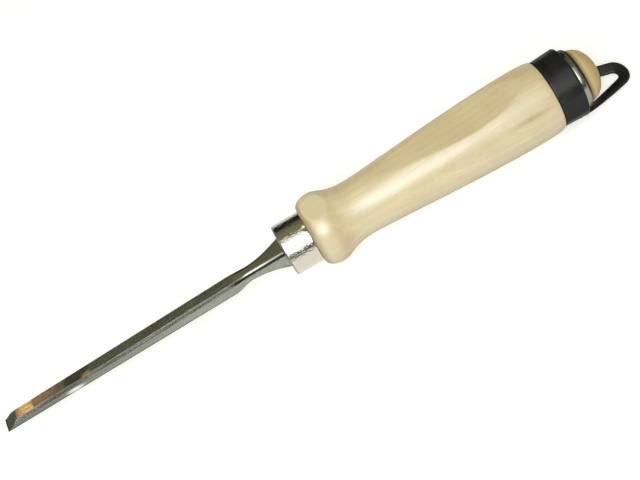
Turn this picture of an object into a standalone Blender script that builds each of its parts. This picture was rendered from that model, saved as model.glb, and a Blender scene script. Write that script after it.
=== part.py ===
# Bevel-edge wood chisel: a forged blade driven into a turned wooden handle, which carries
# a ferrule in front, a hang collar with a loop behind it, and a striking hoop at the butt.
# Units are metres. Along the tool, x is measured from the cutting edge towards the butt;
# the handle's axis is y = z = 0 until the tool is laid down, flat back facing down.

import math

import bmesh
import bpy

# Blade: flat back, upright sides with a slope along the top, ground bevel on the top side
BLADE_LENGTH = 0.1020
BLADE_WIDTH = 0.0060
BLADE_BACK_DROP = 0.0032
TIP_THICKNESS = 0.00335
SHOULDER_THICKNESS = 0.0057
BLADE_TOP_WIDTH = 0.0043
SLOPE_DROP = 0.00125
BEVEL_ANGLE = math.radians(30)
EDGE_LAND = 0.0001

# Neck and bolster, square with rounded corners, and the tang that sits in the handle
SHOULDER_BLEND = 0.0083
NECK_HALF = 0.00267
NECK_CORNER = 0.00185
FLARE_LENGTH = 0.0155
FLARE_POWER = 1.775
BOLSTER_HALF = 0.00494
TANG_LENGTH = 0.0600
TANG_ROOT_WIDTH = 0.0065
TANG_END_WIDTH = 0.0030

# The forging dips a little towards its edge, about a place inside the handle
BLADE_DIP = math.radians(0.73)
DIP_DISTANCE = 0.0342

# Ferrule: a drawn cup with its front lip turned in
FERRULE_LENGTH = 0.0114
FERRULE_RADIUS = 0.01065
FERRULE_WALL = 0.0010
FERRULE_NOSE = 0.0009

# Handle, front to back
BEAD_RISE = 0.0062
BEAD_RADIUS = 0.01472
BEAD_FOOT = 0.0004
WAIST_DISTANCE = 0.0153
WAIST_RADIUS = 0.01147
GRIP_LENGTH = 0.0716
BELLY_RADIUS = 0.01515
BACK_LENGTH = 0.0113
BACK_EDGE_RADIUS = 0.01385
BACK_ROUNDING = 0.0034
COLLAR_SEAT_RADIUS = 0.0116
HOOP_SEAT_RADIUS = 0.0107
DOME_LENGTH = 0.0075
DOME_LIP = 0.0001

# How far each of the outline's curves runs on straight, as a share of its length or height
BACK_EDGE_PULL = 0.7
BELLY_PULL = 0.34
GRIP_WAIST_PULL = 0.097
HOLLOW_WAIST_PULL = 0.68
BEAD_PULL = 0.3

# Flats sanded on the handle's top side
THUMB_FLAT_HEIGHT = 0.0120
THUMB_FLAT_END = 0.0279
THUMB_RUNOUT_RADIUS = 0.1900
BEAD_FLAT_HEIGHT = 0.0133

# Hang collar with its moulded loop, which sits a few degrees off the blade's back
COLLAR_WIDTH = 0.0099
COLLAR_FRONT_RADIUS = 0.01395
COLLAR_REAR_RADIUS = 0.0144
COLLAR_ROUNDING = 0.0005
LOOP_TURN = math.radians(5)
LOOP_REACH = 0.0176
LOOP_BEND_RADIUS = 0.0044
LOOP_TAPER = math.radians(17.4)
LOOP_WIDTH = 0.0044
LOOP_THICKNESS = 0.0015
LOOP_LEAN = 0.0011
LOOP_ROOT = 0.0040

# Striking hoop: a steel ring, rounded outside
HOOP_WIDTH = 0.0031
HOOP_RADIUS = 0.0125
HOOP_EDGE_WALL = 0.0008

# Fits
CLEARANCE = 0.0003
LOOP_CLEARANCE = 0.0004
CUT_MARGIN = 0.0030
MERGE_DISTANCE = 0.00001

# Facets
TURN_STEPS = 32
CURVE_STEPS = 8
LONG_CURVE_STEPS = 14
NOSE_STEPS = 4
SHARP_ANGLE = math.radians(35)

# Places along the tool that follow from the sizes above
NECK_X = BLADE_LENGTH + SHOULDER_BLEND
BOLSTER_X = NECK_X + FLARE_LENGTH
DIP_X = BOLSTER_X + DIP_DISTANCE
FERRULE_FRONT = BOLSTER_X + CLEARANCE
FERRULE_REAR = FERRULE_FRONT + FERRULE_LENGTH
BEAD_FRONT = FERRULE_REAR + CLEARANCE
BEAD_X = BEAD_FRONT + BEAD_RISE
WAIST_X = BEAD_X + WAIST_DISTANCE
BELLY_X = WAIST_X + GRIP_LENGTH
BACK_X = BELLY_X + BACK_LENGTH
COLLAR_FRONT = BACK_X + CLEARANCE
COLLAR_REAR = COLLAR_FRONT + COLLAR_WIDTH
HOOP_FRONT = COLLAR_REAR + CLEARANCE
HOOP_REAR = HOOP_FRONT + HOOP_WIDTH
DOME_X = HOOP_REAR + CLEARANCE
LOOP_CENTRE = COLLAR_REAR + LOOP_REACH
LOOP_END = LOOP_CENTRE + LOOP_BEND_RADIUS + LOOP_WIDTH / 2
OVERALL_LENGTH = max(LOOP_END, DOME_X + DOME_LENGTH)
HALF_FACET = math.pi / TURN_STEPS
REST_HEIGHT = max(BELLY_RADIUS, BEAD_RADIUS) * math.cos(HALF_FACET)


def clear_scene():
    for obj in list(bpy.data.objects):
        bpy.data.objects.remove(obj, do_unlink=True)


def make_collection(name):
    collection = bpy.data.collections.new(name)
    bpy.context.scene.collection.children.link(collection)
    return collection


def make_material(name, colour, roughness, metallic):
    material = bpy.data.materials.new(name)
    material.use_nodes = True
    shader = material.node_tree.nodes["Principled BSDF"]
    shader.inputs["Base Color"].default_value = (*colour, 1)
    shader.inputs["Roughness"].default_value = roughness
    shader.inputs["Metallic"].default_value = metallic
    material.diffuse_color = (*colour, 1)
    return material


def add_object(name, data, collection):
    obj = bpy.data.objects.new(name, data)
    collection.objects.link(obj)
    return obj


def add_helper(name, data):
    # A cutter or a piece to be joined: drawn as a wire, and no part of the tool by itself
    helper = add_object(name, data, bpy.data.collections["chisel_cutters"])
    helper.hide_render = True
    helper.display_type = "WIRE"
    return helper


def mesh_from(name, shape):
    mesh = bpy.data.meshes.new(name)
    shape.to_mesh(mesh)
    shape.free()
    return mesh


def bezier(start, pull, draw, end, steps):
    # Points along a cubic curve, without its first one
    points = []
    for step in range(1, steps + 1):
        t = step / steps
        weights = ((1 - t) ** 3, 3 * t * (1 - t) ** 2, 3 * t * t * (1 - t), t**3)
        corners = (start, pull, draw, end)
        points.append(tuple(sum(w * c[axis] for w, c in zip(weights, corners)) for axis in range(2)))
    return points


def ellipse(centre, length, height, first, last, steps):
    # Points on an ellipse in (x, radius) from angle first to angle last
    points = []
    for step in range(steps + 1):
        angle = first + (last - first) * step / steps
        points.append((centre[0] + length * math.cos(angle), centre[1] + height * math.sin(angle)))
    return points


def turned(name, outline, collection, closed):
    # Spins (x, radius) points round the x axis; the outer side runs from the butt to the edge.
    # Starting half a facet round puts a facet, not an edge, on the surface the tool lies on.
    side = math.cos(HALF_FACET)
    rise = math.sin(HALF_FACET)
    shape = bmesh.new()
    verts = [shape.verts.new((x, radius * side, radius * rise)) for x, radius in outline]
    for first, second in zip(verts, verts[1:]):
        shape.edges.new((first, second))
    if closed:
        shape.edges.new((verts[-1], verts[0]))
    obj = add_object(name, mesh_from(name, shape), collection)
    screw = obj.modifiers.new("turn", "SCREW")
    screw.axis = "X"
    screw.steps = TURN_STEPS
    screw.render_steps = TURN_STEPS
    screw.use_merge_vertices = True
    screw.merge_threshold = MERGE_DISTANCE
    return obj


def lofted(name, rings):
    # A closed skin over rings of points with equal counts, capped at both ends
    shape = bmesh.new()
    rows = [[shape.verts.new(point) for point in ring] for ring in rings]
    count = len(rows[0])
    for row, following in zip(rows, rows[1:]):
        for index in range(count):
            after = (index + 1) % count
            shape.faces.new((row[index], row[after], following[after], following[index]))
    shape.faces.new(rows[0])
    shape.faces.new(rows[-1])
    bmesh.ops.recalc_face_normals(shape, faces=shape.faces)
    return mesh_from(name, shape)


def cut_or_join(obj, helper, operation):
    boolean = obj.modifiers.new(helper.name, "BOOLEAN")
    boolean.operation = operation
    boolean.object = helper


def finish(obj, material, root):
    # Turns the modifiers' result into the object's own mesh, shaded smooth between sharp edges
    graph = bpy.context.evaluated_depsgraph_get()
    mesh = bpy.data.meshes.new_from_object(obj.evaluated_get(graph))
    obj.modifiers.clear()
    obj.data = mesh
    mesh.name = obj.name
    mesh.materials.clear()
    mesh.materials.append(material)
    mesh.shade_smooth()
    mesh.set_sharp_from_angle(angle=SHARP_ANGLE)
    obj.parent = root
    return obj


def dip(x):
    # How far the forging's own middle line lies below the handle's axis at x
    return (DIP_X - x) * math.tan(BLADE_DIP)


def blade_section(x):
    # The blade's outline at x: flat back, upright sides, a slope on each, narrower top
    share = min(x / BLADE_LENGTH, 1)
    thickness = TIP_THICKNESS + share * (SHOULDER_THICKNESS - TIP_THICKNESS)
    half_top = BLADE_TOP_WIDTH / 2
    half = BLADE_WIDTH / 2
    back = -BLADE_BACK_DROP
    top = back + thickness
    land = top - SLOPE_DROP
    corners = [(-half, back), (half, back), (half, land), (half_top, top), (-half_top, top), (-half, land)]
    splits = [8, 5, 2, 6, 2, 5]
    points = []
    for index, split in enumerate(splits):
        first = corners[index]
        second = corners[(index + 1) % len(corners)]
        for step in range(split):
            t = step / split
            points.append((first[0] + t * (second[0] - first[0]), first[1] + t * (second[1] - first[1])))
    return points


def neck_half(x):
    share = max(x - NECK_X, 0) / FLARE_LENGTH
    return NECK_HALF + (BOLSTER_HALF - NECK_HALF) * share**FLARE_POWER


def neck_reach(angle, half):
    # From the middle of a square with rounded corners out to its edge
    large = max(abs(math.cos(angle)), abs(math.sin(angle)))
    small = min(abs(math.cos(angle)), abs(math.sin(angle)))
    inner = half - NECK_CORNER
    if half * small <= inner * large:
        return half / large
    reach = inner * (large + small)
    return reach + math.sqrt(reach**2 - 2 * inner**2 + NECK_CORNER**2)


def blade_ring(x):
    # The blade's section melts into the neck between the shoulder and the thinnest place
    section = blade_section(x)
    middle = (section[0][1] + max(z for _, z in section)) / 2
    share = min(max(x - BLADE_LENGTH, 0) / SHOULDER_BLEND, 1)
    blend = share * share * (3 - 2 * share)
    half = neck_half(x)
    ring = []
    for y, z in section:
        angle = math.atan2(z - middle, y)
        reach = neck_reach(angle, half)
        ring.append(
            (
                x,
                (1 - blend) * y + blend * reach * math.cos(angle),
                (1 - blend) * z + blend * reach * math.sin(angle) - dip(x),
            )
        )
    return ring


def tang_mesh(name, first_x, last_x, grow):
    # A square spike along x; grow widens it on every side, for the hole that takes it
    def half_diagonal(x):
        share = (x - BOLSTER_X) / TANG_LENGTH
        width = TANG_ROOT_WIDTH + share * (TANG_END_WIDTH - TANG_ROOT_WIDTH)
        return (width / 2 + grow) * math.sqrt(2)

    rings = []
    for x in (first_x, last_x):
        radius = half_diagonal(x)
        angles = [math.radians(45 + 90 * corner) for corner in range(4)]
        rings.append([(x, radius * math.cos(angle), radius * math.sin(angle) - dip(x)) for angle in angles])
    return lofted(name, rings)


def make_blade(collection):
    stations = [0, BLADE_LENGTH]
    stations += [BLADE_LENGTH + SHOULDER_BLEND * step / CURVE_STEPS for step in range(1, CURVE_STEPS + 1)]
    stations += [NECK_X + FLARE_LENGTH * step / CURVE_STEPS for step in range(1, CURVE_STEPS + 1)]
    blade = add_object("blade", lofted("blade", [blade_ring(x) for x in stations]), collection)

    # The tang starts inside the bolster, so that the two join cleanly
    tang_end = BOLSTER_X + TANG_LENGTH
    tang = add_helper("tang", tang_mesh("tang", BOLSTER_X - CUT_MARGIN, tang_end, 0))
    cut_or_join(blade, tang, "UNION")

    # Everything above a plane that rises from the cutting edge is ground away
    run = SHOULDER_THICKNESS / math.tan(BEVEL_ANGLE) + CUT_MARGIN
    shape = bmesh.new()
    bmesh.ops.create_cube(shape, size=1)
    bmesh.ops.scale(shape, vec=(2 * run, BLADE_WIDTH + 2 * CUT_MARGIN, run), verts=shape.verts)
    bmesh.ops.translate(shape, vec=(0, 0, run / 2), verts=shape.verts)
    grind = add_helper("bevel_grind", mesh_from("bevel_grind", shape))
    grind.location = (0, 0, EDGE_LAND - BLADE_BACK_DROP - dip(0))
    grind.rotation_euler = (0, -BEVEL_ANGLE - BLADE_DIP, 0)
    cut_or_join(blade, grind, "DIFFERENCE")
    return blade


def make_ferrule(collection):
    hole = TANG_ROOT_WIDTH / math.sqrt(2) + dip(FERRULE_FRONT) + CLEARANCE
    nose = (FERRULE_FRONT + FERRULE_NOSE, FERRULE_RADIUS - FERRULE_NOSE)
    inner = FERRULE_RADIUS - FERRULE_WALL
    outline = [(FERRULE_REAR, inner), (FERRULE_REAR, FERRULE_RADIUS)]
    outline += ellipse(nose, FERRULE_NOSE, FERRULE_NOSE, math.radians(90), math.radians(180), NOSE_STEPS)
    outline += [(FERRULE_FRONT, hole), (FERRULE_FRONT + FERRULE_WALL, hole)]
    outline += [(FERRULE_FRONT + FERRULE_WALL, inner)]
    return turned("ferrule", outline, collection, True)


def handle_outline():
    # From the middle of the butt, along the outside, to the middle of the front end
    dome_radius = HOOP_SEAT_RADIUS + CLEARANCE + DOME_LIP
    outline = ellipse((DOME_X, 0), DOME_LENGTH, dome_radius, 0, math.radians(90), CURVE_STEPS)
    hoop_seat = COLLAR_REAR + CLEARANCE / 2
    outline += [(DOME_X, HOOP_SEAT_RADIUS), (hoop_seat, HOOP_SEAT_RADIUS)]
    outline += [(hoop_seat, COLLAR_SEAT_RADIUS), (BACK_X, COLLAR_SEAT_RADIUS)]

    # Rounded back edge, long swelling grip, hollow waist
    back = (BACK_X, BACK_EDGE_RADIUS)
    belly = (BELLY_X, BELLY_RADIUS)
    waist = (WAIST_X, WAIST_RADIUS)
    bead = (BEAD_X, BEAD_RADIUS)
    outline.append(back)
    outline += bezier(
        back,
        (BACK_X, back[1] + BACK_EDGE_PULL * (belly[1] - back[1])),
        (BACK_X - BACK_ROUNDING, belly[1]),
        belly,
        CURVE_STEPS,
    )
    outline += bezier(
        belly,
        (BELLY_X - BELLY_PULL * GRIP_LENGTH, belly[1]),
        (WAIST_X + GRIP_WAIST_PULL * GRIP_LENGTH, waist[1]),
        waist,
        LONG_CURVE_STEPS,
    )
    outline += bezier(
        waist,
        (WAIST_X - HOLLOW_WAIST_PULL * WAIST_DISTANCE, waist[1]),
        (BEAD_X + BEAD_PULL * WAIST_DISTANCE, bead[1]),
        bead,
        LONG_CURVE_STEPS,
    )

    # Bead down to the ferrule, and the spigot inside it
    foot = FERRULE_RADIUS + BEAD_FOOT
    outline += ellipse(
        (BEAD_X, foot), BEAD_RISE, bead[1] - foot, math.radians(90), math.radians(180), CURVE_STEPS
    )[1:]
    spigot = FERRULE_RADIUS - FERRULE_WALL - CLEARANCE
    front = FERRULE_FRONT + FERRULE_WALL + CLEARANCE
    outline += [(BEAD_FRONT, spigot), (front, spigot), (front, 0)]
    return outline


def flat_cutter(name, outline, half_width):
    # A plate with an outline in the xz plane, reaching half_width to either side
    curve = bpy.data.curves.new(name, "CURVE")
    curve.dimensions = "2D"
    curve.fill_mode = "BOTH"
    curve.extrude = half_width
    spline = curve.splines.new("POLY")
    spline.points.add(len(outline) - 1)
    for point, (x, z) in zip(spline.points, outline):
        point.co = (x, z, 0, 1)
    spline.use_cyclic_u = True
    source = add_object(name + "_curve", curve, bpy.data.collections["chisel_cutters"])
    source.rotation_euler = (math.radians(90), 0, 0)
    bpy.context.view_layer.update()
    graph = bpy.context.evaluated_depsgraph_get()
    mesh = bpy.data.meshes.new_from_object(source.evaluated_get(graph))
    shape = bmesh.new()
    shape.from_mesh(mesh)
    bmesh.ops.remove_doubles(shape, verts=shape.verts, dist=MERGE_DISTANCE)
    bmesh.ops.recalc_face_normals(shape, faces=shape.faces)
    shape.to_mesh(mesh)
    shape.free()
    cutter = add_helper(name, mesh)
    cutter.matrix_world = source.matrix_world.copy()
    bpy.data.objects.remove(source, do_unlink=True)
    return cutter


def make_handle(collection):
    handle = turned("handle", handle_outline(), collection, False)

    socket_start = FERRULE_FRONT - CUT_MARGIN
    socket_end = BOLSTER_X + TANG_LENGTH + CLEARANCE
    socket = add_helper("tang_socket", tang_mesh("tang_socket", socket_start, socket_end, CLEARANCE))
    cut_or_join(handle, socket, "DIFFERENCE")

    # Thumb flat: level from the waist, running out in a long hollow curve before the back edge
    height = THUMB_FLAT_HEIGHT
    clear = REST_HEIGHT + CUT_MARGIN
    level_end = BELLY_X - THUMB_FLAT_END
    sweep = math.acos(1 - min((clear - height) / THUMB_RUNOUT_RADIUS, 1))
    centre = (level_end, height + THUMB_RUNOUT_RADIUS)
    runout = ellipse(
        centre,
        THUMB_RUNOUT_RADIUS,
        THUMB_RUNOUT_RADIUS,
        math.radians(-90),
        math.radians(-90) + sweep,
        CURVE_STEPS,
    )
    outline = [(WAIST_X, clear), (WAIST_X, height)] + runout
    cut_or_join(handle, flat_cutter("thumb_flat", outline, REST_HEIGHT + CUT_MARGIN), "DIFFERENCE")

    # The same sanding touches the crown of the bead
    low = BEAD_FLAT_HEIGHT
    outline = [(BEAD_FRONT, low), (WAIST_X, low), (WAIST_X, clear), (BEAD_FRONT, clear)]
    cut_or_join(handle, flat_cutter("bead_flat", outline, REST_HEIGHT + CUT_MARGIN), "DIFFERENCE")
    return handle


def loop_path():
    # (x, distance round the tool from its underside, heading) along the strap, leg, bend, leg
    turn = math.radians(90) - LOOP_TAPER
    touch = (LOOP_CENTRE + LOOP_BEND_RADIUS * math.cos(turn), LOOP_BEND_RADIUS * math.sin(turn))
    start_x = COLLAR_REAR - LOOP_ROOT
    start = (start_x, touch[1] + (touch[0] - start_x) * math.tan(LOOP_TAPER))
    leg = []
    for step in range(LONG_CURVE_STEPS):
        t = step / LONG_CURVE_STEPS
        leg.append((start[0] + t * (touch[0] - start[0]), start[1] + t * (touch[1] - start[1]), -LOOP_TAPER))
    bend = []
    for step in range(LONG_CURVE_STEPS + 1):
        angle = turn - 2 * turn * step / LONG_CURVE_STEPS
        x = LOOP_CENTRE + LOOP_BEND_RADIUS * math.cos(angle)
        bend.append((x, LOOP_BEND_RADIUS * math.sin(angle), angle - math.radians(90)))
    back = [(x, -round_tool, math.pi - heading) for x, round_tool, heading in reversed(leg)]
    return leg + bend + back


def loop_radius(x):
    # The strap passes over the hoop, then leans in towards its end
    over_hoop = HOOP_RADIUS + LOOP_CLEARANCE + LOOP_THICKNESS / 2
    share = max(x - HOOP_REAR, 0) / (LOOP_CENTRE + LOOP_BEND_RADIUS - HOOP_REAR)
    return over_hoop - LOOP_LEAN * share


def loop_ring(x, round_tool, heading):
    # The strap's section, a flat bar with its corners taken off, wrapped round the tool
    across = (-math.sin(heading), math.cos(heading))
    half_width = LOOP_WIDTH / 2
    half_thick = LOOP_THICKNESS / 2
    corner = LOOP_THICKNESS / 4
    section = []
    for side, level in ((1, 1), (-1, 1), (-1, -1), (1, -1)):
        wide = (side * half_width, level * (half_thick - corner))
        thick = (side * (half_width - corner), level * half_thick)
        section += [wide, thick] if side == level else [thick, wide]
    ring = []
    for offset, rise in section:
        place = x + offset * across[0]
        radius = loop_radius(x)
        angle = LOOP_TURN + (round_tool + offset * across[1]) / radius
        ring.append((place, (radius + rise) * math.sin(angle), -(radius + rise) * math.cos(angle)))
    return ring


def make_hang_collar(collection):
    bore = COLLAR_SEAT_RADIUS + CLEARANCE
    corner = COLLAR_ROUNDING
    outline = [(COLLAR_REAR, bore), (COLLAR_REAR, COLLAR_REAR_RADIUS - corner)]
    outline += [(COLLAR_REAR - corner, COLLAR_REAR_RADIUS), (COLLAR_FRONT + corner, COLLAR_FRONT_RADIUS)]
    outline += [(COLLAR_FRONT, COLLAR_FRONT_RADIUS - corner), (COLLAR_FRONT, bore)]
    collar = turned("hang_collar", outline, collection, True)
    loop = add_helper("hang_loop", lofted("hang_loop", [loop_ring(*place) for place in loop_path()]))
    cut_or_join(collar, loop, "UNION")
    return collar


def make_striking_hoop(collection):
    bore = HOOP_SEAT_RADIUS + CLEARANCE
    edge = bore + HOOP_EDGE_WALL
    middle = (HOOP_FRONT + HOOP_WIDTH / 2, edge)
    outline = [(HOOP_REAR, bore)]
    outline += ellipse(middle, HOOP_WIDTH / 2, HOOP_RADIUS - edge, 0, math.radians(180), CURVE_STEPS)
    outline.append((HOOP_FRONT, bore))
    return turned("striking_hoop", outline, collection, True)


def main():
    clear_scene()
    parts = make_collection("chisel")
    make_collection("chisel_cutters").hide_render = True

    # The root lays the tool down: bottom centre of its box at the origin
    root = add_object("chisel_root", None, parts)
    root.location = (-OVERALL_LENGTH / 2, 0, REST_HEIGHT)

    steel = make_material("ground_steel", (0.36, 0.36, 0.34), 0.28, 1.0)
    nickel = make_material("nickel_plate", (0.66, 0.65, 0.62), 0.14, 1.0)
    wood = make_material("lacquered_beech", (0.74, 0.58, 0.34), 0.32, 0.0)
    plastic = make_material("black_plastic", (0.022, 0.023, 0.024), 0.42, 0.0)
    hoop_steel = make_material("bright_steel", (0.50, 0.50, 0.48), 0.22, 1.0)

    finish(make_blade(parts), steel, root)
    finish(make_ferrule(parts), nickel, root)
    finish(make_handle(parts), wood, root)
    finish(make_hang_collar(parts), plastic, root)
    finish(make_striking_hoop(parts), hoop_steel, root)


main()
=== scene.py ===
# Wood chisel: the finished look of each piece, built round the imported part.
# Pieces are drawn in tool millimetres: x from the cutting edge to the butt, the handle's axis at y = z = 0.

import math

import bmesh
import bpy
from mathutils import Matrix, Vector


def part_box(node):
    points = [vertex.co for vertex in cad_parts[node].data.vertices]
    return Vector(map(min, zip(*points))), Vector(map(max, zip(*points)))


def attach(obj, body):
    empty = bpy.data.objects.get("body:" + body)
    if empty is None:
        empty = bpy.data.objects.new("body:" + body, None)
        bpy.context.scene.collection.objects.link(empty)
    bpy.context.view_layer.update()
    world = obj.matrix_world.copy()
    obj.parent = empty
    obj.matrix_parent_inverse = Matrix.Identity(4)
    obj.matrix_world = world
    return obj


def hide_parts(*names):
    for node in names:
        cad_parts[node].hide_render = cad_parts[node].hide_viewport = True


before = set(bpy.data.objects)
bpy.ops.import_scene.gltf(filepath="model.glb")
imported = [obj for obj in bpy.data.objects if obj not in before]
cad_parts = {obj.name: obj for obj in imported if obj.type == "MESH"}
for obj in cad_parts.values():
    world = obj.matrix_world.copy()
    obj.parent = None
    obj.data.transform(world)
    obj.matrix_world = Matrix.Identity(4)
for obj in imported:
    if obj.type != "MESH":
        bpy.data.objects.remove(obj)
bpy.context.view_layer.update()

mm = 0.001
mergeReach = 0.0005    # tool millimetres
softStep = {"interpolation_type": "SMOOTHSTEP"}
colourMix = {"data_type": "RGBA"}

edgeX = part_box("blade")[0].x
ferruleLow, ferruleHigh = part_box("ferrule")
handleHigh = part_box("handle")[1]
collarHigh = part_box("hang_collar")[1]
hoopLow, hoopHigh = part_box("striking_hoop")
axisZ = (hoopLow.z + hoopHigh.z) / 2
toolPlace = Matrix.Translation((edgeX, 0, axisZ)) @ Matrix.Scale(mm, 4)
ferruleFront = (ferruleLow.x - edgeX) / mm
ferruleRear = (ferruleHigh.x - edgeX) / mm
hoopFront = (hoopLow.x - edgeX) / mm
hoopRear = (hoopHigh.x - edgeX) / mm
buttX = (handleHigh.x - edgeX) / mm
loopEndX = (collarHigh.x - edgeX) / mm
print(f"frame loaded: {len(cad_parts)} nodes, axis {axisZ / mm:.2f} mm above the floor")


def linear(hexColour):
    channels = []
    for start in (1, 3, 5):
        value = int(hexColour[start:start + 2], 16) / 255
        channels.append(value / 12.92 if value <= 0.04045 else ((value + 0.055) / 1.055) ** 2.4)
    return (*channels, 1)


def joinInputs(tree, node, inputs):
    # an input takes a value, a socket, or a node, which stands for its first live output
    for name, value in inputs.items():
        if isinstance(value, bpy.types.Node):
            value = next(socket for socket in value.outputs if socket.enabled)
        if isinstance(value, bpy.types.NodeSocket):
            tree.links.new(value, node.inputs[name])
        else:
            node.inputs[name].default_value = value


def addNode(tree, kind, settings=None, inputs=None):
    node = tree.nodes.new(kind)
    for name, value in (settings or {}).items():
        setattr(node, name, value)
    joinInputs(tree, node, inputs or {})
    return node


def newMaterial(name):
    material = bpy.data.materials.new(name)
    material.use_nodes = True
    tree = material.node_tree
    tree.nodes.clear()
    shader = addNode(tree, "ShaderNodeBsdfPrincipled")
    addNode(tree, "ShaderNodeOutputMaterial", inputs={"Surface": shader})
    return material, tree, shader


def toolCoordinates(tree):
    # object coordinates turned back into tool millimetres
    spot = addNode(tree, "ShaderNodeTexCoord")
    home = (-edgeX / mm, 0, -axisZ / mm)
    place = {"Vector": spot.outputs["Object"], "Location": home, "Scale": (1 / mm,) * 3}
    return addNode(tree, "ShaderNodeMapping", inputs=place)


def newPiece(name, mesh=None):
    obj = bpy.data.objects.new(name, mesh or bpy.data.meshes.new(name))
    bpy.context.scene.collection.objects.link(obj)
    return obj


def useTree(obj, tree, values):
    modifier = obj.modifiers.new(tree.name, "NODES")
    modifier.node_group = tree
    for item in tree.interface.items_tree:
        if item.item_type == "SOCKET" and item.in_out == "INPUT" and item.name in values:
            modifier[item.identifier] = values[item.name]


def evaluatedMesh(obj):
    bpy.context.view_layer.update()
    graph = bpy.context.evaluated_depsgraph_get()
    return bpy.data.meshes.new_from_object(obj.evaluated_get(graph))


def bake(obj):
    # the modifiers' result becomes the object's own mesh
    mesh = evaluatedMesh(obj)
    obj.modifiers.clear()
    obj.data = mesh
    return mesh


def cleanMesh(mesh):
    # doubles merged, then every face turned outwards
    shape = bmesh.new()
    shape.from_mesh(mesh)
    bmesh.ops.remove_doubles(shape, verts=shape.verts, dist=mergeReach)
    bmesh.ops.recalc_face_normals(shape, faces=shape.faces)
    shape.to_mesh(mesh)
    shape.free()


def finishPiece(obj, node, sharpDegrees):
    mesh = bake(obj)
    cleanMesh(mesh)
    mesh.transform(toolPlace)
    mesh.shade_smooth()
    mesh.set_sharp_from_angle(angle=math.radians(sharpDegrees))
    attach(obj, "root")
    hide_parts(node)
    print(f"{obj.name}: {len(mesh.polygons)} faces")


def curvePoints(start, pull, draw, end, steps):
    # a cubic curve in (x, radius), without its first point
    points = []
    for step in range(1, steps + 1):
        t = step / steps
        weights = ((1 - t) ** 3, 3 * t * (1 - t) ** 2, 3 * t * t * (1 - t), t ** 3)
        corners = (start, pull, draw, end)
        points.append(tuple(sum(w * c[k] for w, c in zip(weights, corners)) for k in range(2)))
    return points


def arcPoints(centre, length, height, firstDegrees, lastDegrees, steps):
    points = []
    for step in range(steps + 1):
        angle = math.radians(firstDegrees + (lastDegrees - firstDegrees) * step / steps)
        points.append((centre[0] + length * math.cos(angle), centre[1] + height * math.sin(angle)))
    return points


def straightPoints(start, end, steps):
    return [tuple(a + (b - a) * step / steps for a, b in zip(start, end)) for step in range(1, steps + 1)]


def outlinePiece(name, points):
    mesh = bpy.data.meshes.new(name)
    corners = [(x, radius, 0) for x, radius in points]
    edges = [(index, index + 1) for index in range(len(points) - 1)]
    mesh.from_pydata(corners, edges, [])
    return newPiece(name, mesh)


def softMin(value, limit, blend):
    overlap = max(blend - abs(value - limit), 0) / blend
    return min(value, limit) - overlap ** 3 * blend / 6


def makeLatheTree():
    # spins an outline's points (x, radius) round the x axis, as a lathe does
    tree = bpy.data.node_groups.new("turned on the lathe", "GeometryNodeTree")
    tree.interface.new_socket("Geometry", in_out="OUTPUT", socket_type="NodeSocketGeometry")
    tree.interface.new_socket("Geometry", in_out="INPUT", socket_type="NodeSocketGeometry")
    tree.interface.new_socket("Outline", in_out="INPUT", socket_type="NodeSocketObject")
    tree.interface.new_socket("Around", in_out="INPUT", socket_type="NodeSocketInt")
    tree.interface.new_socket("Finish", in_out="INPUT", socket_type="NodeSocketMaterial")
    given = addNode(tree, "NodeGroupInput")
    around = given.outputs["Around"]
    outline = addNode(tree, "GeometryNodeObjectInfo", inputs={"Object": given.outputs["Outline"]})
    drawn = outline.outputs["Geometry"]
    count = addNode(tree, "GeometryNodeAttributeDomainSize", inputs={"Geometry": drawn})
    columns = addNode(tree, "ShaderNodeMath", {"operation": "ADD"}, {0: around, 1: 1})
    size = {"Vertices X": count.outputs["Point Count"], "Vertices Y": columns}
    sheet = addNode(tree, "GeometryNodeMeshGrid", inputs=size)
    index = addNode(tree, "GeometryNodeInputIndex")
    middle = addNode(tree, "ShaderNodeMath", {"operation": "ADD"}, {0: index, 1: 0.5})
    share = addNode(tree, "ShaderNodeMath", {"operation": "DIVIDE"}, {0: middle, 1: columns})
    row = addNode(tree, "ShaderNodeMath", {"operation": "FLOOR"}, {0: share})
    column = addNode(tree, "ShaderNodeMath", {"operation": "MODULO"}, {0: index, 1: columns})
    turn = addNode(tree, "ShaderNodeMath", {"operation": "DIVIDE"}, {0: column, 1: around})
    angle = addNode(tree, "ShaderNodeMath", {"operation": "MULTIPLY"}, {0: turn, 1: 2 * math.pi})
    spot = addNode(tree, "GeometryNodeInputPosition")
    sampled = {"Geometry": drawn, "Value": spot, "Index": row}
    point = addNode(tree, "GeometryNodeSampleIndex", {"data_type": "FLOAT_VECTOR"}, sampled)
    parts = addNode(tree, "ShaderNodeSeparateXYZ", inputs={0: point})
    radius = parts.outputs["Y"]
    cosine = addNode(tree, "ShaderNodeMath", {"operation": "COSINE"}, {0: angle})
    sine = addNode(tree, "ShaderNodeMath", {"operation": "SINE"}, {0: angle})
    side = addNode(tree, "ShaderNodeMath", {"operation": "MULTIPLY"}, {0: radius, 1: cosine})
    rise = addNode(tree, "ShaderNodeMath", {"operation": "MULTIPLY"}, {0: radius, 1: sine})
    spun = {"X": parts.outputs["X"], "Y": side, "Z": rise}
    place = addNode(tree, "ShaderNodeCombineXYZ", inputs=spun)
    moved = {"Geometry": sheet.outputs["Mesh"], "Position": place}
    turned = addNode(tree, "GeometryNodeSetPosition", inputs=moved)
    closed = addNode(tree, "GeometryNodeMergeByDistance", inputs={"Geometry": turned, "Distance": mergeReach})
    real = addNode(tree, "GeometryNodeRealizeInstances", inputs={0: closed})
    coated = {"Geometry": real, "Material": given.outputs["Finish"]}
    finished = addNode(tree, "GeometryNodeSetMaterial", inputs=coated)
    addNode(tree, "NodeGroupOutput", inputs={0: finished})
    return tree


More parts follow.
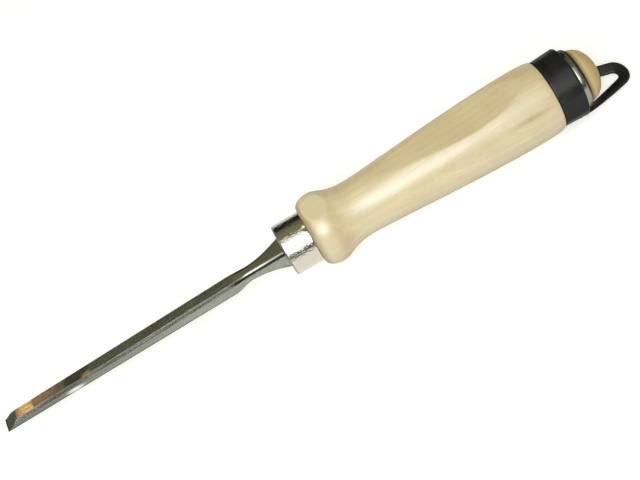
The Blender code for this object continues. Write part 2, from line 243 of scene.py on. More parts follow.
def makeFlatsTree():
    # sands the thumb flat and the flat on the bead, with softened borders
    tree = bpy.data.node_groups.new("sanded flats", "GeometryNodeTree")
    tree.interface.new_socket("Geometry", in_out="OUTPUT", socket_type="NodeSocketGeometry")
    tree.interface.new_socket("Geometry", in_out="INPUT", socket_type="NodeSocketGeometry")
    for name in ("Flat height", "Level end", "Run-out radius", "Waist", "Bead height", "Border"):
        tree.interface.new_socket(name, in_out="INPUT", socket_type="NodeSocketFloat")
    tree.interface.new_socket("Finish", in_out="INPUT", socket_type="NodeSocketMaterial")
    given = addNode(tree, "NodeGroupInput")
    spot = addNode(tree, "GeometryNodeInputPosition")
    parts = addNode(tree, "ShaderNodeSeparateXYZ", inputs={0: spot})
    along = parts.outputs["X"]
    levelEnd = given.outputs["Level end"]
    past = addNode(tree, "ShaderNodeMath", {"operation": "SUBTRACT"}, {0: along, 1: levelEnd})
    rising = addNode(tree, "ShaderNodeMath", {"operation": "MAXIMUM"}, {0: past, 1: 0})
    square = addNode(tree, "ShaderNodeMath", {"operation": "POWER"}, {0: rising, 1: 2})
    runout = given.outputs["Run-out radius"]
    across = addNode(tree, "ShaderNodeMath", {"operation": "MULTIPLY"}, {0: runout, 1: 2})
    sweep = addNode(tree, "ShaderNodeMath", {"operation": "DIVIDE"}, {0: square, 1: across})
    level = addNode(tree, "ShaderNodeMath", {"operation": "ADD"}, {0: sweep, 1: given.outputs["Flat height"]})
    waist = given.outputs["Waist"]
    onBead = addNode(tree, "FunctionNodeCompare", {"operation": "LESS_THAN"}, {0: along, 1: waist})
    choice = {"Switch": onBead, "False": level, "True": given.outputs["Bead height"]}
    limit = addNode(tree, "GeometryNodeSwitch", {"input_type": "FLOAT"}, choice)
    sanding = {0: parts.outputs["Z"], 1: limit, 2: given.outputs["Border"]}
    sanded = addNode(tree, "ShaderNodeMath", {"operation": "SMOOTH_MIN"}, sanding)
    lowered = {"X": along, "Y": parts.outputs["Y"], "Z": sanded}
    place = addNode(tree, "ShaderNodeCombineXYZ", inputs=lowered)
    moved = {"Geometry": given.outputs["Geometry"], "Position": place}
    flats = addNode(tree, "GeometryNodeSetPosition", inputs=moved)
    real = addNode(tree, "GeometryNodeRealizeInstances", inputs={0: flats})
    coated = {"Geometry": real, "Material": given.outputs["Finish"]}
    finished = addNode(tree, "GeometryNodeSetMaterial", inputs=coated)
    addNode(tree, "NodeGroupOutput", inputs={0: finished})
    return tree


def makeStrapTree():
    # a flat bar along a path drawn flat, then wrapped round the tool
    tree = bpy.data.node_groups.new("wrapped strap", "GeometryNodeTree")
    tree.interface.new_socket("Geometry", in_out="OUTPUT", socket_type="NodeSocketGeometry")
    tree.interface.new_socket("Geometry", in_out="INPUT", socket_type="NodeSocketGeometry")
    for name in ("Width", "Thickness", "Corner", "Radius", "Lean", "Lean start", "Lean end", "Turn"):
        tree.interface.new_socket(name, in_out="INPUT", socket_type="NodeSocketFloat")
    tree.interface.new_socket("Finish", in_out="INPUT", socket_type="NodeSocketMaterial")
    given = addNode(tree, "NodeGroupInput")
    path = {"Curve": given.outputs["Geometry"]}
    upright = addNode(tree, "GeometryNodeSetCurveNormal", {"mode": "Z_UP"}, path)
    bar = {"Width": given.outputs["Width"], "Height": given.outputs["Thickness"]}
    section = addNode(tree, "GeometryNodeCurvePrimitiveQuadrilateral", inputs=bar)
    fillet = {"Curve": section, "Count": 4, "Radius": given.outputs["Corner"], "Limit Radius": True}
    rounded = addNode(tree, "GeometryNodeFilletCurve", {"mode": "POLY"}, fillet)
    swept = {"Curve": upright, "Profile Curve": rounded, "Fill Caps": True}
    strap = addNode(tree, "GeometryNodeCurveToMesh", inputs=swept)
    spot = addNode(tree, "GeometryNodeInputPosition")
    parts = addNode(tree, "ShaderNodeSeparateXYZ", inputs={0: spot})
    leaning = {
        "Value": parts.outputs["X"], "From Min": given.outputs["Lean start"],
        "From Max": given.outputs["Lean end"], "To Min": 0, "To Max": given.outputs["Lean"],
    }
    lean = addNode(tree, "ShaderNodeMapRange", inputs=leaning)
    radius = addNode(tree, "ShaderNodeMath", {"operation": "SUBTRACT"}, {0: given.outputs["Radius"], 1: lean})
    bend = addNode(tree, "ShaderNodeMath", {"operation": "DIVIDE"}, {0: parts.outputs["Y"], 1: radius})
    angle = addNode(tree, "ShaderNodeMath", {"operation": "ADD"}, {0: bend, 1: given.outputs["Turn"]})
    out = addNode(tree, "ShaderNodeMath", {"operation": "ADD"}, {0: radius, 1: parts.outputs["Z"]})
    sine = addNode(tree, "ShaderNodeMath", {"operation": "SINE"}, {0: angle})
    cosine = addNode(tree, "ShaderNodeMath", {"operation": "COSINE"}, {0: angle})
    side = addNode(tree, "ShaderNodeMath", {"operation": "MULTIPLY"}, {0: out, 1: sine})
    depth = addNode(tree, "ShaderNodeMath", {"operation": "MULTIPLY"}, {0: out, 1: cosine})
    below = addNode(tree, "ShaderNodeMath", {"operation": "MULTIPLY"}, {0: depth, 1: -1})
    wrapped = {"X": parts.outputs["X"], "Y": side, "Z": below}
    place = addNode(tree, "ShaderNodeCombineXYZ", inputs=wrapped)
    moved = addNode(tree, "GeometryNodeSetPosition", inputs={"Geometry": strap, "Position": place})
    real = addNode(tree, "GeometryNodeRealizeInstances", inputs={0: moved})
    coated = {"Geometry": real, "Material": given.outputs["Finish"]}
    finished = addNode(tree, "GeometryNodeSetMaterial", inputs=coated)
    addNode(tree, "NodeGroupOutput", inputs={0: finished})
    return tree


latheTree = makeLatheTree()


def turnPiece(name, outline, around, material, sandingTree=None, sanding=None):
    drawing = outlinePiece(name + "_outline", outline)
    piece = newPiece(name)
    useTree(piece, latheTree, {"Outline": drawing, "Around": around, "Finish": material})
    if sandingTree:
        useTree(piece, sandingTree, sanding)
    bake(piece)
    bpy.data.objects.remove(drawing)
    return piece


# one forging with its neck, bolster and tang
blade = {
    "length": 102.0, "width": 6.0, "backDrop": 3.2, "tipThickness": 3.35, "shoulderThickness": 5.7,
    "topWidth": 4.3, "slopeDrop": 1.25, "bevelDegrees": 30.0, "edge": 0.03, "bevelBlend": 0.06,
    "backCut": 0.08, "landCut": 0.10, "ridgeCut": 0.03, "cutSteps": 5, "faceSteps": (26, 16, 8, 18, 8, 16),
    "shoulderBlend": 8.3, "neckHalf": 2.67, "flareLength": 15.5, "flarePower": 1.775, "bolsterHalf": 4.94,
    "neckCorner": 1.85, "bolsterRim": 0.25, "tangLength": 60.0, "tangRoot": 6.5, "tangEnd": 3.0,
    "dipDegrees": 0.73, "dipDistance": 34.2, "glintPlace": (30.8, -3.0, -3.5), "dabPlace": (37.2, -1.7, -0.55),
    "tipFine": 9.0, "tipStep": 0.1, "longStep": 2.0, "blendSteps": 30, "flareSteps": 44,
}
neckX = blade["length"] + blade["shoulderBlend"]
bolsterX = neckX + blade["flareLength"]


def dip(x):
    return (bolsterX + blade["dipDistance"] - x) * math.tan(math.radians(blade["dipDegrees"]))


def bladeSection(x):
    # flat back, upright sides, a narrow slope on each and a flat top, every corner eased
    share = min(x / blade["length"], 1)
    thickness = blade["tipThickness"] + share * (blade["shoulderThickness"] - blade["tipThickness"])
    half = blade["width"] / 2
    halfTop = blade["topWidth"] / 2
    back = -blade["backDrop"]
    top = back + thickness
    land = top - blade["slopeDrop"]
    corners = [(-half, back), (half, back), (half, land), (halfTop, top), (-halfTop, top), (-half, land)]
    backCut, landCut, ridgeCut = blade["backCut"], blade["landCut"], blade["ridgeCut"]
    cuts = [backCut, backCut, landCut, ridgeCut, ridgeCut, landCut]
    eased = []
    for index, corner in enumerate(corners):
        here = Vector(corner)
        before = here + (Vector(corners[index - 1]) - here).normalized() * cuts[index]
        after = here + (Vector(corners[(index + 1) % len(corners)]) - here).normalized() * cuts[index]
        eased.append((before, here, after))
    points = []
    for index, (before, here, after) in enumerate(eased):
        for step in range(blade["cutSteps"]):
            t = step / blade["cutSteps"]
            points.append(before * (1 - t) ** 2 + here * 2 * t * (1 - t) + after * t * t)
        following = eased[(index + 1) % len(eased)][0]
        steps = blade["faceSteps"][index]
        points += [after.lerp(following, step / steps) for step in range(steps)]
    return points


def neckReach(angle, half):
    # from the middle of the forged neck, a square with rounded corners, out to its skin
    large = max(abs(math.cos(angle)), abs(math.sin(angle)))
    small = min(abs(math.cos(angle)), abs(math.sin(angle)))
    inner = half - blade["neckCorner"]
    if half * small <= inner * large:
        return half / large
    reach = inner * (large + small)
    return reach + math.sqrt(reach ** 2 - 2 * inner ** 2 + blade["neckCorner"] ** 2)


def bladeRing(x):
    # the ground section melts into the neck behind the shoulder, the bevel is ground across the tip
    section = bladeSection(x)
    heights = [point.y for point in section]
    middle = (min(heights) + max(heights)) / 2
    share = min(max(x - blade["length"], 0) / blade["shoulderBlend"], 1)
    melt = share * share * (3 - 2 * share)
    flare = max(x - neckX, 0) / blade["flareLength"]
    half = blade["neckHalf"] + (blade["bolsterHalf"] - blade["neckHalf"]) * flare ** blade["flarePower"]
    bevel = -blade["backDrop"] + blade["edge"] + x * math.tan(math.radians(blade["bevelDegrees"]))
    ring = []
    for y, z in section:
        angle = math.atan2(z - middle, y)
        reach = neckReach(angle, half)
        height = (1 - melt) * z + melt * reach * math.sin(angle)
        if x < blade["length"]:
            height = max(softMin(height, bevel, blade["bevelBlend"]), -blade["backDrop"])
        ring.append((x, (1 - melt) * y + melt * reach * math.cos(angle), height - dip(x)))
    return ring


def tangRing(x, width):
    # a square with as many points as the blade's section, for one unbroken skin
    ring = []
    for _, y, z in bladeRing(bolsterX):
        angle = math.atan2(z + dip(bolsterX), y)
        reach = width / 2 / max(abs(math.cos(angle)), abs(math.sin(angle)))
        ring.append((x, reach * math.cos(angle), reach * math.sin(angle) - dip(x)))
    return ring


def makeBlade(material):
    length = blade["length"]
    tipFine = blade["tipFine"]
    blendSteps = blade["blendSteps"]
    flareSteps = blade["flareSteps"]
    longSteps = round((length - tipFine) / blade["longStep"])
    stations = [step * blade["tipStep"] for step in range(round(tipFine / blade["tipStep"]))]
    stations += [tipFine + (length - tipFine) * step / longSteps for step in range(longSteps)]
    stations += [length + blade["shoulderBlend"] * step / blendSteps for step in range(blendSteps)]
    stations += [neckX + blade["flareLength"] * step / flareSteps for step in range(flareSteps)]
    rings = [bladeRing(x) for x in stations]
    rings.append(bladeRing(bolsterX - blade["bolsterRim"] / 2))
    rim = 1 - blade["bolsterRim"] / blade["bolsterHalf"]
    drop = dip(bolsterX)
    rings.append([(bolsterX, y * rim, (z + drop) * rim - drop) for _, y, z in bladeRing(bolsterX)])
    rings.append(tangRing(bolsterX, blade["tangRoot"]))
    rings.append(tangRing(bolsterX + blade["tangLength"], blade["tangEnd"]))
    shape = bmesh.new()
    rows = [[shape.verts.new(point) for point in ring] for ring in rings]
    count = len(rows[0])
    for row, following in zip(rows, rows[1:]):
        for index in range(count):
            after = (index + 1) % count
            shape.faces.new((row[index], row[after], following[after], following[index]))
    shape.faces.new(rows[0])
    shape.faces.new(rows[-1])
    piece = newPiece("chisel_blade")
    shape.to_mesh(piece.data)
    shape.free()
    piece.data.materials.append(material)
    finishPiece(piece, "blade", 24)
    return piece


# a drawn cup with its lip turned in, staked once at the rear rim
ferrule = {
    "radius": 10.65, "wall": 1.0, "nose": 0.8, "rearEdge": 0.22, "reach": 0.2, "holeGap": 0.3, "around": 300,
    "stakeDegrees": 22.0, "stakeLength": 1.0, "stakeWidth": 0.7, "stakeDepth": 0.6,
    "burrDegrees": 12.5, "burrRise": 0.1,
}


def makeFerrule(material):
    front = ferruleFront - ferrule["reach"] / 2
    rear = ferruleRear + ferrule["reach"]
    radius = ferrule["radius"]
    inner = radius - ferrule["wall"]
    hole = blade["tangRoot"] / math.sqrt(2) + dip(ferruleFront) + ferrule["holeGap"]
    nose = ferrule["nose"]
    edge = ferrule["rearEdge"]
    outline = [(rear, inner)]
    outline += straightPoints((rear, inner), (rear, radius - edge), 3)
    outline += arcPoints((rear - edge, radius - edge), edge, edge, 0, 90, 4)
    outline += straightPoints((rear - edge, radius), (front + nose, radius), 70)
    outline += arcPoints((front + nose, radius - nose), nose, nose, 90, 180, 8)
    outline += straightPoints((front, radius - nose), (front, hole), 12)
    outline += [(front + ferrule["wall"], hole), (front + ferrule["wall"], inner), (rear, inner)]
    piece = turnPiece("front_ferrule", outline, ferrule["around"], material)

    # the stake mark: a nick pressed into the rear rim to pin the ferrule, with a burr beside it
    for vertex in piece.data.vertices:
        out = Vector((0, vertex.co.y, vertex.co.z))
        if out.length > inner + ferrule["wall"] / 2:
            turn = math.degrees(math.atan2(-vertex.co.y, vertex.co.z))
            back = (rear - vertex.co.x) / ferrule["stakeLength"]
            nick = math.radians(turn - ferrule["stakeDegrees"]) * radius / ferrule["stakeWidth"]
            burr = math.radians(turn - ferrule["burrDegrees"]) * radius / ferrule["stakeWidth"]
            push = ferrule["burrRise"] * math.exp(-burr ** 2) - ferrule["stakeDepth"] * math.exp(-nick ** 2)
            vertex.co += out.normalized() * push * math.exp(-back ** 2)
    finishPiece(piece, "ferrule", 38)
    return piece


# turned wood with sanded flats
handle = {
    "beadRise": 6.2, "beadRadius": 14.72, "beadFoot": 0.4, "waistDistance": 15.3, "waistRadius": 11.47,
    "gripLength": 71.6, "bellyRadius": 15.15, "backLength": 11.3, "backEdge": 13.85, "backRounding": 3.4,
    "backPull": 0.7, "bellyPull": 0.34, "gripWaistPull": 0.097, "hollowWaistPull": 0.68, "beadPull": 0.3,
    "collarSeat": 11.6, "hoopSeat": 10.7, "domeRadius": 10.95, "domePower": 0.46, "seatGap": 0.15,
    "spigotGap": 0.15, "boreGap": 0.3, "beadGap": 0.3, "around": 256, "domeSteps": 32,
    "flatHeight": 12.0, "levelEnd": 203.0, "runoutRadius": 150.0, "beadFlat": 13.3, "border": 0.42,
    "stainPlace": (148.6, -13.6, 2.0), "knotPlace": (229.5, -12.9, 7.9),
}
beadFront = ferruleRear + handle["beadGap"]
beadX = beadFront + handle["beadRise"]
waistX = beadX + handle["waistDistance"]
bellyX = waistX + handle["gripLength"]
backX = bellyX + handle["backLength"]


def handleOutline():
    # from the middle of the butt along the outside to the front, then down the bore for the tang
    domeX = hoopRear + handle["seatGap"]
    outline = []
    for step in range(handle["domeSteps"] + 1):
        angle = math.radians(90 * step / handle["domeSteps"])
        radius = handle["domeRadius"] * math.sin(angle) ** (2 * handle["domePower"])
        outline.append((domeX + (buttX - domeX) * math.cos(angle), radius))
    hoopSeat = hoopFront - handle["seatGap"]
    outline += [(domeX, handle["hoopSeat"]), (hoopSeat, handle["hoopSeat"])]
    outline += [(hoopSeat, handle["collarSeat"]), (backX, handle["collarSeat"])]
    back = (backX, handle["backEdge"])
    belly = (bellyX, handle["bellyRadius"])
    waist = (waistX, handle["waistRadius"])
    bead = (beadX, handle["beadRadius"])
    backHigh = (backX, back[1] + handle["backPull"] * (belly[1] - back[1]))
    outline.append(back)
    outline += curvePoints(back, backHigh, (backX - handle["backRounding"], belly[1]), belly, 30)
    gripStart = (bellyX - handle["bellyPull"] * handle["gripLength"], belly[1])
    gripEnd = (waistX + handle["gripWaistPull"] * handle["gripLength"], waist[1])
    outline += curvePoints(belly, gripStart, gripEnd, waist, 96)
    hollowStart = (waistX - handle["hollowWaistPull"] * handle["waistDistance"], waist[1])
    hollowEnd = (beadX + handle["beadPull"] * handle["waistDistance"], bead[1])
    outline += curvePoints(waist, hollowStart, hollowEnd, bead, 44)
    foot = ferrule["radius"] + handle["beadFoot"]
    outline += arcPoints((beadX, foot), handle["beadRise"], bead[1] - foot, 90, 180, 32)[1:]
    spigot = ferrule["radius"] - ferrule["wall"] - handle["spigotGap"]
    front = ferruleFront + ferrule["wall"] + handle["spigotGap"]
    mouth = blade["tangRoot"] / math.sqrt(2) + dip(ferruleFront) + handle["boreGap"]
    tip = blade["tangEnd"] / math.sqrt(2) + abs(dip(bolsterX + blade["tangLength"])) + handle["boreGap"]
    end = bolsterX + blade["tangLength"] + handle["boreGap"]
    outline += [(beadFront, spigot), (front, spigot), (front, mouth), (end, tip), (end, 0)]
    return outline


def makeHandle(material):
    flats = {
        "Flat height": handle["flatHeight"], "Level end": handle["levelEnd"],
        "Run-out radius": handle["runoutRadius"], "Waist": waistX, "Bead height": handle["beadFlat"],
        "Border": handle["border"], "Finish": material,
    }
    outline = handleOutline()
    piece = turnPiece("turned_handle", outline, handle["around"], material, makeFlatsTree(), flats)
    finishPiece(piece, "handle", 40)
    return piece


# one moulding, a ring with a hanging loop
collar = {
    "frontRadius": 13.95, "rearRadius": 14.4, "corner": 0.55, "around": 224,
    "boreGap": 0.15, "frontGap": 0.15, "rearGap": 0.12,
    "turnDegrees": 5.0, "bendRadius": 4.4, "taperDegrees": 17.4, "loopWidth": 4.4,
    "loopThickness": 1.5, "loopCorner": 0.5, "loopRoot": 4.0, "lean": 1.1, "hoopGap": 0.4,
    "legSteps": 24, "bendSteps": 32,
}
collarFront = backX + collar["frontGap"]
collarRear = hoopFront - collar["rearGap"]
loopCentre = loopEndX - collar["bendRadius"] - collar["loopWidth"] / 2


def loopPath():
    # the strap's middle line drawn flat: x along the tool, y the way round it from underneath
    taper = math.radians(collar["taperDegrees"])
    turn = math.pi / 2 - taper
    bend = collar["bendRadius"]
    touch = (loopCentre + bend * math.cos(turn), bend * math.sin(turn))
    startX = collarRear - collar["loopRoot"]
    start = (startX, touch[1] + (touch[0] - startX) * math.tan(taper))
    leg = [start] + straightPoints(start, touch, collar["legSteps"])
    sweep = math.degrees(turn)
    arc = arcPoints((loopCentre, 0), bend, bend, sweep, -sweep, collar["bendSteps"])[1:-1]
    return leg + arc + [(x, -y) for x, y in reversed(leg)]


def makeCollar(material):
    corner = collar["corner"]
    bore = handle["collarSeat"] + collar["boreGap"]
    rear = collar["rearRadius"]
    front = collar["frontRadius"]
    outline = [(collarRear, bore)]
    outline += straightPoints((collarRear, bore), (collarRear, rear - corner), 4)
    outline += arcPoints((collarRear - corner, rear - corner), corner, corner, 0, 90, 6)
    outline += straightPoints((collarRear - corner, rear), (collarFront + corner, front), 24)
    outline += arcPoints((collarFront + corner, front - corner), corner, corner, 90, 180, 6)
    outline += [(collarFront, bore), (collarRear, bore)]
    piece = turnPiece("hang_collar_moulding", outline, collar["around"], material)

    path = bpy.data.curves.new("loop_path", "CURVE")
    spline = path.splines.new("POLY")
    points = loopPath()
    spline.points.add(len(points) - 1)
    for point, (x, y) in zip(spline.points, points):
        point.co = (x, y, 0, 1)
    strap = newPiece("loop_strap", path)
    sizes = {
        "Width": collar["loopWidth"], "Thickness": collar["loopThickness"], "Corner": collar["loopCorner"],
        "Radius": (hoopHigh.z - axisZ) / mm + collar["hoopGap"] + collar["loopThickness"] / 2,
        "Lean": collar["lean"], "Lean start": hoopRear, "Lean end": loopCentre + collar["bendRadius"],
        "Turn": math.radians(collar["turnDegrees"]), "Finish": material,
    }
    useTree(strap, makeStrapTree(), sizes)
    strapMesh = evaluatedMesh(strap)
    bpy.data.objects.remove(strap)
    solid = newPiece("loop_solid", strapMesh)
    cleanMesh(strapMesh)
    cleanMesh(piece.data)
    union = piece.modifiers.new("one moulding", "BOOLEAN")
    union.operation = "UNION"
    union.object = solid
    bake(piece)
    bpy.data.objects.remove(solid)
    finishPiece(piece, "hang_collar", 32)
    return piece


# a turned steel ring, its rear edge rounded over towards the dome
hoop = {
    "radius": 12.5, "frontRadius": 12.1, "rearRadius": 11.25, "crownShare": 0.36,
    "boreGap": 0.12, "around": 240,
}


def makeHoop(material):
    bore = handle["hoopSeat"] + hoop["boreGap"]
    crown = hoopFront + (hoopRear - hoopFront) * hoop["crownShare"]
    radius = hoop["radius"]
    front = hoop["frontRadius"]
    rear = hoop["rearRadius"]
    outline = [(hoopRear, bore), (hoopRear, rear)]
    outline += arcPoints((crown, rear), hoopRear - crown, radius - rear, 0, 90, 16)[1:]
    outline += arcPoints((crown, front), crown - hoopFront, radius - front, 90, 180, 10)[1:]
    outline += [(hoopFront, bore), (hoopRear, bore)]
    piece = turnPiece("butt_hoop", outline, hoop["around"], material)
    finishPiece(piece, "striking_hoop", 38)
    return piece


def groundToolSteel():
    # ground tool steel, oiled: lines along the blade, a polished neck, amber lacquer left near the edge
    material, tree, shader = newMaterial("ground tool steel")
    spot = toolCoordinates(tree)
    parts = addNode(tree, "ShaderNodeSeparateXYZ", inputs={0: spot})
    along = parts.outputs["X"]
    # grinding lines are about 0.05 mm apart, drawn at 0.3 mm to show
    lines = addNode(tree, "ShaderNodeMapping", inputs={"Vector": spot, "Scale": (1 / 26, 1 / 0.3, 1 / 0.3)})
    line = addNode(tree, "ShaderNodeTexNoise", inputs={"Vector": lines, "Scale": 1, "Detail": 4})
    grit = addNode(tree, "ShaderNodeTexNoise", inputs={"Vector": spot, "Scale": 1 / 0.5, "Detail": 2})
    mixed = addNode(tree, "ShaderNodeMix", {"data_type": "FLOAT"}, {0: 0.4, 2: line, 3: grit})
    grind = addNode(tree, "ShaderNodeMapRange", inputs={"Value": mixed, "From Min": 0.34, "From Max": 0.66})
    cloud = addNode(tree, "ShaderNodeTexNoise", inputs={"Vector": spot, "Scale": 1 / 2.5, "Detail": 3})
    ragged = addNode(tree, "ShaderNodeMath", {"operation": "MULTIPLY_ADD"}, {0: cloud, 1: 3, 2: along})
    face = addNode(tree, "ShaderNodeNewGeometry")
    facing = addNode(tree, "ShaderNodeSeparateXYZ", inputs={0: face.outputs["Normal"]})
    upward = facing.outputs["Z"]

    # each ground face keeps its own tone: cool sides, darker slopes, a clean top
    cool = {0: grind, 6: linear("#73766f"), 7: linear("#a9aca3")}
    side = addNode(tree, "ShaderNodeMix", colourMix, cool)
    dull = {0: grind, 6: linear("#6d6f66"), 7: linear("#989a90")}
    slope = addNode(tree, "ShaderNodeMix", colourMix, dull)
    clean = {0: grind, 6: linear("#7c8280"), 7: linear("#c5cdcb")}
    top = addNode(tree, "ShaderNodeMix", colourMix, clean)
    smoky = {"Value": along, "From Min": 85, "From Max": 4, "To Max": 0.65}
    smoke = addNode(tree, "ShaderNodeMapRange", inputs=smoky)
    smoked = {0: smoke, 6: side, 7: linear("#585d58")}
    smokySide = addNode(tree, "ShaderNodeMix", colourMix, smoked)
    wiping = {"Value": along, "From Min": 42, "From Max": 75, "To Max": 0.12}
    wiped = addNode(tree, "ShaderNodeMapRange", inputs=wiping)
    bright = {0: wiped, 6: slope, 7: linear("#b4b6ac")}
    rearSlope = addNode(tree, "ShaderNodeMix", colourMix, bright)
    # painted highlight: the slopes grow lighter towards the tip, by the bevel
    tipHighlightRange = {"Value": along, "From Min": 17, "From Max": 5, "To Max": 0.8}
    tipHighlight = addNode(tree, "ShaderNodeMapRange", inputs=tipHighlightRange)
    tipHighlighted = {0: tipHighlight, 6: rearSlope, 7: linear("#b0b2a9")}
    tipSlope = addNode(tree, "ShaderNodeMix", colourMix, tipHighlighted)
    leaning = {"Value": upward, "From Min": 0.25, "From Max": 0.45}
    onSlope = addNode(tree, "ShaderNodeMapRange", softStep, leaning)
    lower = {0: onSlope, 6: smokySide, 7: tipSlope}
    flanks = addNode(tree, "ShaderNodeMix", colourMix, lower)
    rising = {"Value": upward, "From Min": 0.66, "From Max": 0.8}
    onTop = addNode(tree, "ShaderNodeMapRange", softStep, rising)
    bevelled = {"Value": facing.outputs["X"], "From Min": -0.35, "From Max": -0.45, "To Max": 0.6}
    onBevel = addNode(tree, "ShaderNodeMapRange", inputs=bevelled)
    gritty = {0: onBevel, 6: top, 7: linear("#4c4e48")}
    upper = addNode(tree, "ShaderNodeMix", colourMix, gritty)
    forged = {"Value": along, "From Min": 101, "From Max": 105}
    onNeck = addNode(tree, "ShaderNodeMapRange", softStep, forged)
    buffed = {0: onNeck, 6: upper, 7: linear("#bcc0b8")}
    neckTop = addNode(tree, "ShaderNodeMix", colourMix, buffed)
    faced = {0: onTop, 6: flanks, 7: neckTop}
    steel = addNode(tree, "ShaderNodeMix", colourMix, faced)

    # painted shade: a dark band along the back's edge; above it on the side, one long painted highlight
    tilt = math.tan(math.radians(blade["dipDegrees"]))
    fall = {0: along, 1: -tilt, 2: parts.outputs["Z"]}
    slant = addNode(tree, "ShaderNodeMath", {"operation": "MULTIPLY_ADD"}, fall)
    backLevel = -blade["backDrop"] - tilt * (bolsterX + blade["dipDistance"])
    backEdgeShadeRange = {"Value": slant, "From Min": backLevel + 0.8, "From Max": backLevel + 0.2, "To Max": 0.75}
    backEdgeShade = addNode(tree, "ShaderNodeMapRange", softStep, backEdgeShadeRange)
    shadedEdge = {0: backEdgeShade, 6: steel, 7: linear("#3d3e3a")}
    backEdgeShaded = addNode(tree, "ShaderNodeMix", colourMix, shadedEdge)
    # painted shade: the forged neck is darkened just under its polished corner
    high = {"Value": upward, "From Min": 0.1, "From Max": 0.3, "To Max": 0.9}
    underCorner = addNode(tree, "ShaderNodeMapRange", softStep, high)
    sheer = addNode(tree, "ShaderNodeMapRange", inputs={"Value": upward, "From Min": 0.9, "From Max": 0.72})
    neckShade = addNode(tree, "ShaderNodeMath", {"operation": "MULTIPLY"}, {0: onNeck, 1: underCorner})
    neckShadeMask = addNode(tree, "ShaderNodeMath", {"operation": "MULTIPLY"}, {0: neckShade, 1: sheer})
    darkened = {0: neckShadeMask, 6: backEdgeShaded, 7: linear("#2e302a")}
    necked = addNode(tree, "ShaderNodeMix", colourMix, darkened)
    # painted highlight: one long bright patch on the near side, above the back's edge
    glintOff = addNode(tree, "ShaderNodeVectorMath", {"operation": "SUBTRACT"}, {0: spot, 1: blade["glintPlace"]})
    glintLong = addNode(tree, "ShaderNodeVectorMath", {"operation": "MULTIPLY"}, {0: glintOff, 1: (0.42, 1, 1.5)})
    glintReach = addNode(tree, "ShaderNodeVectorMath", {"operation": "LENGTH"}, {0: glintLong})
    glintRange = {"Value": glintReach.outputs["Value"], "From Min": 2.3, "From Max": 0.5, "To Max": 0.9}
    glint = addNode(tree, "ShaderNodeMapRange", softStep, glintRange)
    glintMix = {0: glint, 6: necked, 7: linear("#e6e7e8")}
    metal = addNode(tree, "ShaderNodeMix", colourMix, glintMix)

    # the lacquer: straw to 14 mm, then brown, thinning out by 28 mm and at the near ridge; one last spot
    straw = {"Value": ragged, "From Min": 15.9, "From Max": 14.8}
    strawBand = addNode(tree, "ShaderNodeMapRange", softStep, straw)
    brown = {"Value": ragged, "From Min": 29.5, "From Max": 16, "To Min": 0.42}
    brownFade = addNode(tree, "ShaderNodeMapRange", inputs=brown)
    filmEnd = {"Value": ragged, "From Min": 30.4, "From Max": 29.2}
    lastFilm = addNode(tree, "ShaderNodeMapRange", softStep, filmEnd)
    ending = {0: brownFade, 1: lastFilm}
    brownBand = addNode(tree, "ShaderNodeMath", {"operation": "MULTIPLY"}, ending)
    wander = {0: cloud, 1: 2.4, 2: parts.outputs["Y"]}
    across = addNode(tree, "ShaderNodeMath", {"operation": "MULTIPLY_ADD"}, wander)
    thin = {"Value": across, "From Min": -1.1, "From Max": 0.3, "To Min": 0.3}
    thinning = addNode(tree, "ShaderNodeMapRange", softStep, thin)
    brownFilm = {0: brownBand, 1: thinning}
    brownLeft = addNode(tree, "ShaderNodeMath", {"operation": "MULTIPLY"}, brownFilm)
    dabOff = addNode(tree, "ShaderNodeVectorMath", {"operation": "SUBTRACT"}, {0: spot, 1: blade["dabPlace"]})
    dabLong = addNode(tree, "ShaderNodeVectorMath", {"operation": "MULTIPLY"}, {0: dabOff, 1: (0.65, 1, 1)})
    dab = addNode(tree, "ShaderNodeVectorMath", {"operation": "LENGTH"}, {0: dabLong})
    dabRange = {"Value": dab.outputs["Value"], "From Min": 1.9, "From Max": 0.5, "To Max": 0.75}
    dabSpot = addNode(tree, "ShaderNodeMapRange", softStep, dabRange)
    bands = addNode(tree, "ShaderNodeMath", {"operation": "MAXIMUM"}, {0: strawBand, 1: brownLeft})
    stained = addNode(tree, "ShaderNodeMath", {"operation": "MAXIMUM"}, {0: bands, 1: dabSpot})
    level = {"Value": upward, "From Min": 0.92, "From Max": 0.985}
    topFace = addNode(tree, "ShaderNodeMapRange", softStep, level)
    film = addNode(tree, "ShaderNodeMath", {"operation": "MULTIPLY"}, {0: stained, 1: topFace})
    tint = {0: line, 6: linear("#7e5e36"), 7: linear("#ae8b5e")}
    brownTint = addNode(tree, "ShaderNodeMix", colourMix, tint)
    brushed = {"Vector": spot, "Scale": (1 / 3.2, 1 / 0.8, 1 / 0.8)}
    streaks = addNode(tree, "ShaderNodeMapping", inputs=brushed)
    streak = addNode(tree, "ShaderNodeTexNoise", inputs={"Vector": streaks, "Scale": 1, "Detail": 3})
    pooled = addNode(tree, "ShaderNodeMapRange", inputs={"Value": streak, "From Min": 0.35, "From Max": 0.65})
    amber = {0: pooled, 6: linear("#d59f55"), 7: linear("#fbdb98")}
    strawTint = addNode(tree, "ShaderNodeMix", colourMix, amber)
    heated = {"Value": along, "From Min": 8.8, "From Max": 6, "To Max": 0.85}
    scorch = addNode(tree, "ShaderNodeMapRange", inputs=heated)
    scorched = {0: scorch, 6: strawTint, 7: linear("#86663f")}
    amberTint = addNode(tree, "ShaderNodeMix", colourMix, scorched)
    gold = {0: strawBand, 6: brownTint, 7: amberTint}
    banded = addNode(tree, "ShaderNodeMix", colourMix, gold)
    dabbed = {0: dabSpot, 6: banded, 7: linear("#c89f4e")}
    lacquer = addNode(tree, "ShaderNodeMix", colourMix, dabbed)
